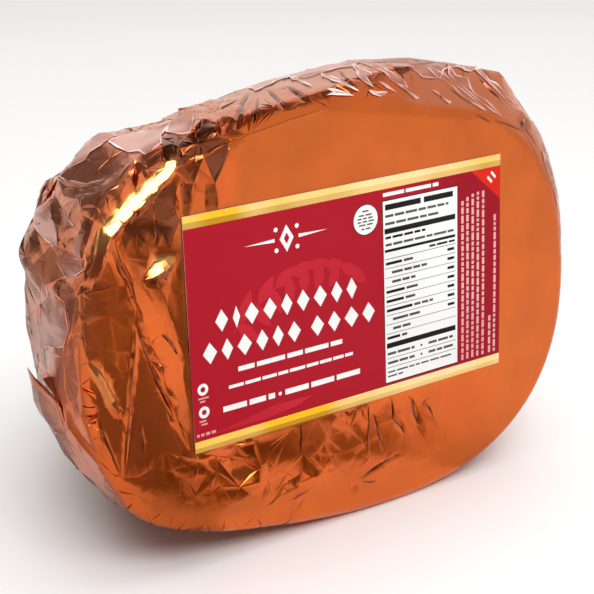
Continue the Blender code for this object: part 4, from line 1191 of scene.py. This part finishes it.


# --- The clear film's tucks ---
# A clear shrink film lies over the foil. Along the top and on the left it is gathered into thin flat
# tucks, whose pale colour is a painted sheen. Each has a turned edge with a painted highlight along it.
# Outlines are on the flat sheet, in mm.
CLEAR_FILM, EDGE_PAINTED_HIGHLIGHT = 0, 1
FILM = (
    ((1.6, 119.2), (17, 119), (32.1, 117.5), (45.1, 115.1), (53.5, 113.3), (67.9, 109.4),
        (70.5, 100.5), (74.4, 92.8), (71.4, 85.6), (80.2, 81.6), (72.9, 80.5), (67.2, 83.6),
        (58.2, 83.8), (51.8, 79.6), (43, 81.8), (40.3, 88.7), (39.8, 98.7), (34.8, 106.6), (24, 102.6),
        (18.6, 105.2), (10.4, 105.5), (-2.8, 105.6), (-4.2, 113.7)),
    ((34.4, 109.3), (34.8, 103.4), (34.8, 98.5), (28.5, 88.6), (30, 84.7), (32, 81.4), (31.7, 78.2),
        (27, 80.5), (25.4, 82.2), (24.6, 88.5), (31.6, 100.8)),
    ((27.5, 80), (30.8, 76.9), (35.3, 73.2), (33.8, 73.3), (30.6, 76.3)),
    ((29.9, 107.1), (23.7, 97.8), (17.8, 86.3), (14.8, 86.5), (14.4, 84), (14.5, 80.8), (11.9, 84.1),
        (11.5, 86.7), (22.7, 100)),
    ((8.3, 105.2), (4.6, 90.8), (3.6, 83.6), (6.1, 79.9), (2, 83.1), (2.3, 90.9), (4.4, 100.1)),
    ((-6.6, 83.3), (-1.8, 80.9), (3.2, 78.2), (-2.4, 79.7), (-8.7, 80.2), (-4.6, 80.7)),
    ((11.4, 79.7), (15.3, 77.9), (20.2, 77.7), (18.4, 76.8), (15.7, 76.4), (12.7, 78)),
    ((19.2, 82.4), (21.5, 80.2), (24.9, 76.8), (21.2, 79.5)),
    ((44.8, 75.3), (47.6, 73.4), (46.8, 73)),
    ((47.9, 71.9), (52, 69.4), (50.9, 69.3)),
    ((49.1, 85.8), (53, 84.7), (55.9, 81.3), (59.3, 76.4), (63.1, 71.6), (65.9, 68.4), (69.4, 63.5),
        (65.3, 66.6), (59.7, 70.6), (57.2, 75.2), (54.2, 78.5), (50.8, 80.9)),
    ((62.1, 85.1), (62.2, 79.8), (68.4, 78), (66.7, 74), (67.3, 71), (71, 68.4), (74.1, 64.7),
        (78.1, 59.9), (73.8, 62.6), (67.7, 68), (63.7, 73.3), (60.1, 77.6), (58.6, 80.8)),
    ((76.2, 80.7), (81, 80.7), (79, 74.9), (81.6, 72.9), (85.9, 66.9), (91.9, 63.9), (95.9, 59.9),
        (85.3, 64.8), (81.3, 68.8), (78.1, 74)),
    ((71.6, 85.1), (74.5, 84.1), (72.8, 80.5), (69.5, 81.7)),
    ((-3, 115.1), (-1, 114.9), (-6.2, 104), (-9, 89.8), (-7.7, 100.7), (-7.3, 107.5)),
    ((-106.5, 89.4), (-117.8, 85.1), (-124, 83.5), (-130.4, 82.9), (-139.3, 82.1), (-132.3, 78.5),
        (-123.4, 77.5), (-118.2, 77.3), (-115.8, 79.4), (-110.3, 80.1), (-106.4, 83), (-103.4, 86.3)),
    ((-106.5, 81.3), (-103.4, 83.2), (-98.2, 87.1), (-92.6, 91.5), (-84.4, 93.1), (-78.4, 92.1),
        (-81.1, 83.5), (-82.4, 79.9), (-81.2, 72), (-84.1, 70.6), (-88.3, 68.9), (-91.1, 72),
        (-96.1, 72.4), (-100.5, 76.1)),
    ((-77.7, 93.4), (-73.6, 97.5), (-69.1, 101.9), (-64.3, 102.1), (-67.2, 84.3), (-69.1, 76.3),
        (-74.8, 78.1), (-80.1, 82.6)),
    ((-158.1, 79.8), (-143.3, 63.9), (-137.4, 58.1), (-132.8, 53.8), (-131, 42.2), (-133.7, 44.6),
        (-138.8, 47.9), (-144.3, 52.6), (-151.7, 60.7), (-158, 68.8)),
    ((-132.5, 59.7), (-127, 61.7), (-118.1, 59.7), (-116, 55.2), (-118.1, 52.6), (-121.3, 50.2),
        (-124.9, 54.3), (-128.4, 57.8)),
    ((-130.6, 41.4), (-120.4, 37.8), (-113.8, 37.1), (-114.6, 33.4), (-119.2, 31.5), (-127.6, 31.3),
        (-132, 37.3)),
    ((-145.5, 21.6), (-134, 26.2), (-126.8, 21.9), (-125.8, 11.4), (-130.5, 4.2), (-179.3, -10),
        (-182.1, 1.6), (-180.1, 10.8)),
    ((-142.7, 82.9), (-128.1, 72), (-117, 66.8), (-109, 65.3), (-106, 65.3), (-109.5, 63.4),
        (-117.8, 65.1), (-129.6, 70.5)),
    ((103.8, 42.2), (107.5, 38.2), (113.7, 29.3), (115.5, 20.2), (116, 11.2), (116.1, 2.3),
        (115.6, -4), (115.3, 2.5), (112.9, 12), (109.8, 21.3), (106.6, 29.7), (103.5, 36.7)),
    ((-28.3, 114.7), (-8.8, 118.9), (6.4, 119.7), (2.2, 115.8), (-14.7, 111.6), (-31.5, 103.3)),
)


film_spots, film_faces, film_kinds = [], [], []


def add_film(spots, faces, kind):
    film_faces.append(np.array(faces) + sum(len(done) for done in film_spots))
    film_spots.append(spots * MM)
    film_kinds.extend([kind] * len(faces))


def fill_with_facets(outline, spacing):
    low, high = outline.min(axis=0), outline.max(axis=0)
    inner = [(x, z) for x in np.arange(low[0], high[0], spacing) for z in np.arange(low[1], high[1], spacing)]
    flat, faces, _ = join_points([*outline.tolist(), *inner], edges_round(len(outline)), 0.01)
    return flat, faces[inside_outline(flat[faces].mean(axis=1), outline)]


def hem_along(outline, spacing, breadth):
    """The turned edge of a tuck, painted as a highlight: a narrow strip, broader and narrower along its way.
    """
    hem, aside = walk_round(outline, spacing)
    width = breadth * (0.28 + 0.22 * np.sin(np.arange(len(hem)) * 0.9 + hem[0, 0]))[:, None]
    near = np.arange(len(hem))
    far = (near + 1) % len(hem)
    quads = np.stack([near, far, far + len(hem), near, far + len(hem), near + len(hem)], axis=1)
    return np.concatenate([hem - aside * width, hem + aside * width]), quads.reshape(-1, 3)


FILM_SPACING, LEFT_HEM, TOP_HEM, FILM_ABOVE, EDGE_ABOVE = 1.8, 0.45, 1.0, 0.35, 0.5
for outline in FILM:
    outline = np.array(outline, float)
    hem_breadth = LEFT_HEM if outline[:, 0].mean() < -95 else TOP_HEM
    add_film(*fill_with_facets(outline, FILM_SPACING), CLEAR_FILM)
    add_film(*hem_along(outline, FILM_SPACING, hem_breadth), EDGE_PAINTED_HIGHLIGHT)
film_spots, film_faces = np.concatenate(film_spots), np.concatenate(film_faces)
# No film lies over the last patch of painted shade.
over_last_painted_patch = inside_outline(film_spots[film_faces].mean(axis=1) / MM, list(PAINTED_SHADE_PATCHES[-1][1]))
film_faces, film_kinds = film_faces[~over_last_painted_patch], np.array(film_kinds)[~over_last_painted_patch]
film_outward = read_outward(film_spots)
film_points = read_facets(fine, fine_triangles, foil_points[: len(fine)], film_spots)
above_foil = np.full(len(film_spots), FILM_ABOVE)
above_foil[np.unique(film_faces[film_kinds == EDGE_PAINTED_HIGHLIGHT])] = EDGE_ABOVE
film_points += above_foil[:, None] * MM * film_outward
backward = (facet_crosses(film_points, film_faces) * film_outward[film_faces[:, 0]]).sum(axis=1) < 0
film_faces[backward] = film_faces[backward, ::-1]
film_mesh = smooth_mesh("film_tucks", film_points, film_faces)
film_tucks = put_in_scene("film_tucks", film_mesh)


def film_finish(name, rosy_shade, painted_sheen_shade, thinnest, thickest, roughness):
    """Streaky film, see-through where it is thin, rosy from the foil below, and pale with a painted sheen
    where it is thick.
    """
    finish = plain_finish(name, rosy_shade, roughness)
    film = finish.node_tree
    shader = film.nodes["Principled BSDF"]
    set_inputs(shader, Specular_IOR_Level=0.35)
    drawn_out = add_node(film, "ShaderNodeMapping", Rotation=(0, math.radians(-35), 0), Scale=(18, 30, 85))
    film.links.new(film.nodes.new("ShaderNodeTexCoord").outputs["Object"], drawn_out.inputs["Vector"])
    streaks = cloudy(film, drawn_out.outputs[0], 1.0, 2.2)
    cover = even_step(film, streaks, 0.36, 0.60, thinnest, thickest)
    film.links.new(mixed(film, cover, rosy_shade, painted_sheen_shade), shader.inputs["Base Color"])
    film.links.new(cover, shader.inputs["Alpha"])
    return finish


# The film's pale is a painted sheen, and its turned edges carry a paler painted highlight.
for finish in (film_finish("clear film painted sheen", (0.40, 0.13, 0.085), (0.82, 0.50, 0.44), 0.08, 0.78, 0.34),
               film_finish("turned edge painted highlight", (0.72, 0.42, 0.36), (0.95, 0.80, 0.76), 0.25, 0.95, 0.25)):
    film_mesh.materials.append(finish)
film_mesh.polygons.foreach_set("material_index", film_kinds)
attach(film_tucks, "root")
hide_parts("foil_pack")


# --- The loose corner ---
# Low on the left, one corner of the foil isn't pressed down. It is held at its foot and stands off
# the side, open along its top edge, as far as each of its five lengths is lifted in mm.
FLAP_FOOT = ((-162.5, -53.5), (-154, -47), (-145.9, -40.2), (-140, -35), (-136.1, -31.3))
FLAP_EDGE = ((-155.5, -11.5), (-151, -15), (-147, -17.8), (-142, -21), (-137.4, -25))
FLAP_LIFT = (7.5, 5.4, 3.2, 1.4, 0.3)
foot, edge, lift = np.array(FLAP_FOOT) * MM, np.array(FLAP_EDGE) * MM, np.array(FLAP_LIFT) * MM
FLAP_ROWS, FLAP_ABOVE, FLAP_THICKNESS = 9, 0.15 * MM, 0.12 * MM
flap_rows = []
for step in np.linspace(0, 1, FLAP_ROWS):
    spots = foot + (edge - foot) * step
    on_side = read_facets(fine, fine_triangles, foil_points[: len(fine)], spots)
    flap_rows.append(on_side + read_outward(spots) * (FLAP_ABOVE + lift * step**1.3)[:, None])
flap_points = np.concatenate(flap_rows)
wide = len(FLAP_LIFT)
flap_faces = np.array([(r * wide + k, r * wide + k + 1, r * wide + wide + k + 1, r * wide + wide + k)
                       for r in range(FLAP_ROWS - 1) for k in range(wide - 1)])
flap_mesh = smooth_mesh("loose_corner", flap_points, flap_faces)
everywhere = np.ones(len(flap_points))
# The loose corner takes the film's tint and painted sheen all over, with no painted shade or highlight.
store_marks(flap_mesh, {"crumpled": 0.5 * everywhere, "film_tint_and_sheen": everywhere, "painted_shade": 0 * everywhere,
                        "painted_highlight": 0 * everywhere})
flap_mesh.materials.append(copper_foil)
loose_corner = put_in_scene("loose_corner", flap_mesh)
thick = loose_corner.modifiers.new("thickness", "SOLIDIFY")
thick.thickness, thick.offset = FLAP_THICKNESS, 0
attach(loose_corner, "root")
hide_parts("foil_pack")


# --- The label on the cut face ---
# A sheet of gloss paper stuck flat over the middle of the cut face, printed crimson with a gold band
# along its top and its foot and a white table of food facts at the right. It carries no wording:
# plain bars, lozenges and a leaf spray take that place. Sizes are in mm from the face's middle.
label_chance = np.random.default_rng(8)
printed = []


def print_shape(ink, corners):
    printed.append((ink, [(float(x), float(z)) for x, z in corners]))


def print_bar(ink, left, right, middle, height):
    low, high = middle - height / 2, middle + height / 2
    print_shape(ink, [(left, low), (right, low), (right, high), (left, high)])


def print_disc(ink, x, z, radius, corners=36):
    turns = [2 * math.pi * i / corners for i in range(corners)]
    print_shape(ink, [(x + radius * math.cos(t), z + radius * math.sin(t)) for t in turns])


def print_lozenge(ink, x, z, width, height):
    print_shape(ink, [(x - width / 2, z), (x, z - height / 2), (x + width / 2, z), (x, z + height / 2)])


def print_leaf(ink, x, z, length, width, turned):
    """A pointed leaf that grows from a place on its stem."""
    along = np.linspace(0, 1, 13)
    swell = width / 2 * np.sin(math.pi * along**0.8)
    upper, lower = np.stack([along * length, swell], 1), np.stack([along * length, -swell], 1)
    outline = np.concatenate([upper, lower[-2:0:-1]])
    cos, sin = math.cos(math.radians(turned)), math.sin(math.radians(turned))
    print_shape(ink, [(x + cos * a - sin * b, z + sin * a + cos * b) for a, b in outline])


def print_bars(ink, left, right, middle, height, longest=9.0, upright=False):
    """A row of bars of uneven length, as long as a line of small print."""
    while left < right - 1.2:
        step = min(label_chance.uniform(0.35, 1.0) * longest, right - left)
        if upright:
            print_bar(ink, middle - height / 2, middle + height / 2, left + step / 2, step)
        else:
            print_bar(ink, left, left + step, middle, height)
        left += step + max(0.7, 0.55 * height)


# The crimson ground and the gold bands: each one's middle height and its height.
for ink, middle, height in (("crimson", LABEL_MIDDLE, 2 * LABEL_HALF_HEIGHT), ("gold", 43.75, 2.5),
                            ("old gold", 41.35, 2.3), ("gold", -42.9, 2.7), ("old gold", -45.1, 1.8)):
    print_bar(ink, LABEL_LEFT, LABEL_RIGHT, middle, height)

# The leaf spray, tone on tone.
stem_x, stem_z = np.linspace(-57, -2, 15), -6 + 22 * np.sin(np.linspace(0.15, 2.2, 15))
print_shape("rose", [*zip(stem_x, stem_z + 0.5), *zip(stem_x[::-1], stem_z[::-1] - 0.5)])
for number in range(1, 14, 2):
    shorter = 0.35 * number
    print_leaf("rose", stem_x[number], stem_z[number], 13.5 - shorter, 5.2, 78 - 8.5 * number)
    print_leaf("rose", stem_x[number] - 2, stem_z[number] - 0.5, 13.0 - shorter, 4.8, -32 - 7.0 * number)
print_leaf("rose", stem_x[-1], stem_z[-1], 11, 5, -45)
print_shape("rose", [(-62, -39.2), (-40, -35.6), (-22, -35.9), (-30, -38.6), (-44, -40.1), (-70, -40.1)])

# The heading's place: a fleuron between two tapered rules.
for tip, stub in ((-50.5, -37), (-12.5, -26)):
    print_shape("white", [(tip, 29.3), (stub, 28.5), (stub, 29.9)])
print_lozenge("white", -31.5, 29.2, 6.4, 10.5)
print_lozenge("crimson", -31.5, 29.2, 2.6, 4.4)
for x, z in ((-36.3, 33.2), (-26.7, 33.2), (-36.3, 25.2), (-26.7, 25.2)):
    print_disc("white", x, z, 0.9, 20)

# The two large lines: rows of lozenges, where a width of 0 leaves a space. Three lines of bars come
# under them.
WORD_SPACE = 2.8
LARGE_LINES = (
    (-64.5, 3.4, 8.6, 2.1, (5.6, 3.2, 6.2, 6.0, 5.2, 5.8, 6.2, 5.4, 5.0)),
    (-70.5, -8.2, 8.4, 2.0, (6.2, 5.0, 6.4, 5.4, 5.0, 6.0, 0, 6.2, 6.0, 6.8, 6.2)),
)
for place, middle, height, gap, widths in LARGE_LINES:
    for width in widths:
        if width:
            print_lozenge("white", place + width / 2, middle, width, height)
        place = place + width + gap if width else place + WORD_SPACE
print_bars("white", -55.5, -7.0, -17.2, 1.9, 13)
print_bars("white", -60.0, -2.0, -23.4, 1.3, 11)
print_bars("white", -63.0, -39.6, -31.6, 2.2, 12)
print_disc("white", -37.2, -31.6, 0.75, 16)
print_bars("white", -34.8, 3.0, -31.6, 2.2, 15)

# Two small round marks with two lines under each, and a short line in the corner.
for middle in (-21.5, -30.5):
    print_disc("white", -71.3, middle, 2.3)
    print_disc("crimson", -71.3, middle, 1.05, 24)
    print_bars("rose white", -73.6, -69.0, middle - 3.4, 0.65, 5)
    print_bars("rose white", -72.8, -69.8, middle - 4.7, 0.65, 5)
print_bars("rose white", -75.0, -66.2, -39.2, 1.1, 3)

# The round white mark and the short white line at the table's upper left.
print_disc("black", 6.0, 29.5, 6.25, 48)
print_disc("white", 6.0, 29.5, 5.9, 48)
for middle, reach in ((33.0, 1.6), (31.4, 3.4), (30.1, 4.0), (28.8, 4.0), (27.5, 3.4), (25.9, 2.2)):
    print_bars("grey", 6.0 - reach, 6.0 + reach, middle, 0.62, 4)
print_bars("white", 14.6, 42.8, 37.8, 1.5, 13)

# The table of food facts.
print_bar("black", 14.1, 53.1, -2.5, 76.2)
print_bar("white", 14.5, 52.7, -2.5, 75.4)
print_bar("black", 15.6, 33.6, 32.6, 2.3)
print_bar("black", 35.2, 50.4, 32.6, 2.3)
print_bars("grey", 15.6, 48.0, 29.0, 1.05, 7)
print_bars("grey", 15.6, 44.5, 25.9, 1.05, 7)
print_bar("black", 15.2, 51.6, 22.9, 2.2)
print_bars("black", 15.6, 36.0, 20.2, 1.0, 7)
print_bars("grey", 15.6, 50.8, 17.3, 1.0, 8)
print_bar("black", 15.2, 51.6, 14.85, 1.15)
print_bars("black", 38.0, 51.3, 12.9, 0.9, 6)
print_bar("grey", 15.2, 51.6, 11.5, 0.28)
FACT_ROWS = ((9.6, 0, 15), (5.7, 3, 18), (1.8, 3, 12), (-2.1, 0, 17), (-6.0, 0, 16), (-9.9, 0, 24),
             (-13.8, 3, 14), (-17.7, 3, 9), (-21.4, 0, 12))
for middle, indent, long in FACT_ROWS:
    if indent:
        print_bars("grey", 15.6 + indent, 15.6 + indent + long, middle, 1.05, 8)
    else:
        print_bar("black", 15.6, 15.6 + 0.55 * long, middle, 1.15)
        print_bars("grey", 16.5 + 0.55 * long, 15.6 + long, middle, 1.05, 6)
    if middle > -17:
        print_bar("black", 47.4, 51.0, middle, 1.15)
    if middle > -21:
        print_bar("grey", 15.2, 51.6, middle - 1.95, 0.24)
print_bar("black", 15.2, 51.6, -24.6, 2.2)
for middle in (-28.1, -32.0):
    print_bars("grey", 15.6, 29.6, middle, 1.05, 7)
    print_disc("black", 33.2, middle, 0.5, 12)
    print_bars("grey", 37.0, 50.2, middle, 1.05, 7)
    print_bar("grey", 15.2, 51.6, middle - 1.95, 0.24)
print_bars("grey", 15.6, 50.6, -35.9, 0.7, 6)
print_bars("grey", 15.6, 25.0, -37.7, 0.7, 6)

# The upright lines of small print, and the corner flash.
SMALL_PRINT = ((55.5, 28.5), (58.2, 30), (61.0, 31), (63.8, 31.2), (66.7, 31.7), (70.4, -23.5), (73.1, 20))
for middle, high in SMALL_PRINT:
    print_bars("rose white", -40, high, middle, 1.25, 3.4, upright=True)
print_shape("orange", [(60, 40.2), (76, 26.2), (76, 40.2)])
for x, z in ((70.2, 35.2), (72.2, 36.9)):
    print_shape("white", [(x - 1.6, z + 0.9), (x - 0.8, z + 1.7), (x + 1.6, z - 0.9), (x + 0.8, z - 1.7)])

# Every printed edge becomes an edge of one sheet, and each facet takes the ink that lies on top.
sheet_points = [(x, z) for x in np.linspace(LABEL_LEFT, LABEL_RIGHT, 39)
                for z in np.linspace(LABEL_LOW, LABEL_HIGH, 24)]
sheet_edges = []
for ink, corners in printed:
    start = len(sheet_points)
    sheet_points += [(min(max(x, LABEL_LEFT), LABEL_RIGHT), min(max(z, LABEL_LOW), LABEL_HIGH))
                     for x, z in corners]
    sheet_edges += edges_round(len(corners), start)
label_flat, label_triangles, _ = join_points(sheet_points, sheet_edges, 0.004)
middle = label_flat[label_triangles].mean(axis=1)
label_inks = np.zeros(len(label_triangles), int)
ink_names = list(dict.fromkeys(ink for ink, _ in printed))
for ink, corners in printed:
    label_inks[inside_outline(middle, corners)] = ink_names.index(ink)

# The sheet has its paper's thickness, and lies with a faint wave over the foil.
across, upward = label_flat.T
wave = 0.10 * np.sin(across / 19 + upward / 31) + 0.07 * np.sin(upward / 11 - across / 37 + 1.0)
front_y = label_low.y + (0.18 + wave) * MM
front = np.stack([FACE[0] + across * MM, front_y, FACE[2] + upward * MM], axis=1)
TOUCHING = 0.001
on_rim = np.abs(across) > LABEL_RIGHT - TOUCHING
on_rim |= (upward > LABEL_HIGH - TOUCHING) | (upward < LABEL_LOW + TOUCHING)
rim = np.flatnonzero(on_rim)
rim = rim[np.argsort(np.arctan2(upward[rim] / LABEL_HALF_HEIGHT, across[rim] / LABEL_RIGHT))]
back = front[rim] * (1, 0, 1) + (0, label_high.y, 0)
after = np.roll(np.arange(len(rim)), -1)
skirt = np.stack([rim, rim[after], len(front) + after, len(front) + np.arange(len(rim))], axis=1)
if facet_crosses(front, label_triangles)[:, 1].mean() > 0:
    label_triangles = label_triangles[:, ::-1]
label_mesh = bpy.data.meshes.new("label_sheet")
label_mesh.from_pydata(np.vstack([front, back]).tolist(), [], label_triangles.tolist() + skirt.tolist())
paper_edge = np.full(len(skirt), ink_names.index("white"))
label_mesh.polygons.foreach_set("material_index", np.append(label_inks, paper_edge))
label_sheet = put_in_scene("label_sheet", label_mesh)

# Each ink lies a little unevenly and takes the paper's fine grain. The gold shades along its bands, and
# the crimson deepens toward the right.
INK_SHADES = {
    "crimson": ((0.38, 0.007, 0.019), (0.38, 0.007, 0.018)),
    "rose": ((0.52, 0.019, 0.036), (0.47, 0.014, 0.028)),
    "rose white": ((0.80, 0.42, 0.42), (0.70, 0.30, 0.32)),
    "white": ((0.87, 0.87, 0.855), (0.80, 0.80, 0.785)),
    "grey": ((0.10, 0.10, 0.10), (0.06, 0.06, 0.06)),
    "black": ((0.012, 0.012, 0.012), (0.006, 0.006, 0.006)),
    "gold": ((0.92, 0.50, 0.018), (0.88, 0.70, 0.34)),
    "old gold": ((0.50, 0.26, 0.015), (0.82, 0.56, 0.22)),
    "orange": ((0.70, 0.022, 0.008), (0.64, 0.016, 0.006)),
}


def ink_finish(ink):
    shade, other_shade = INK_SHADES[ink]
    is_gold = "gold" in ink
    finish = plain_finish("label ink " + ink, shade, 0.4)
    paper = finish.node_tree
    shader = paper.nodes["Principled BSDF"]
    set_inputs(shader, Coat_Weight=0.06, Coat_Roughness=0.12, Specular_IOR_Level=0.06)
    on_paper = paper.nodes.new("ShaderNodeTexCoord").outputs["Object"]
    along_band = add_node(paper, "ShaderNodeMapping", Scale=(1, 1, 0.2) if is_gold else (1, 1, 1))
    paper.links.new(on_paper, along_band.inputs["Vector"])
    cloud = cloudy(paper, along_band.outputs[0], 26.0 if is_gold else 17.0, 1.0)
    grain = cloudy(paper, on_paper, 2400.0, 2.0)
    uneven = even_step(paper, cloud, 0.38, 0.62)
    ink_colour = mixed(paper, uneven, shade, other_shade)
    if ink == "crimson":
        across_label = paper.nodes.new("ShaderNodeSeparateXYZ")
        paper.links.new(on_paper, across_label.inputs[0])
        deeper = even_step(paper, across_label.outputs["X"], FACE[0] + 25 * MM, FACE[0] + 58 * MM, 1.0, 0.8)
        ink_colour = mixed(paper, 1.0, ink_colour, deeper, "MULTIPLY")
    paper.links.new(ink_colour, shader.inputs["Base Color"])
    paper.links.new(even_step(paper, grain, 0, 1, 0.30, 0.46), shader.inputs["Roughness"])
    paper.links.new(bumpy(paper, grain, 0.25, 0.02 * MM), shader.inputs["Normal"])
    return finish


for ink in ink_names:
    label_mesh.materials.append(ink_finish(ink))
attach(label_sheet, "root")
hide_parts("label")
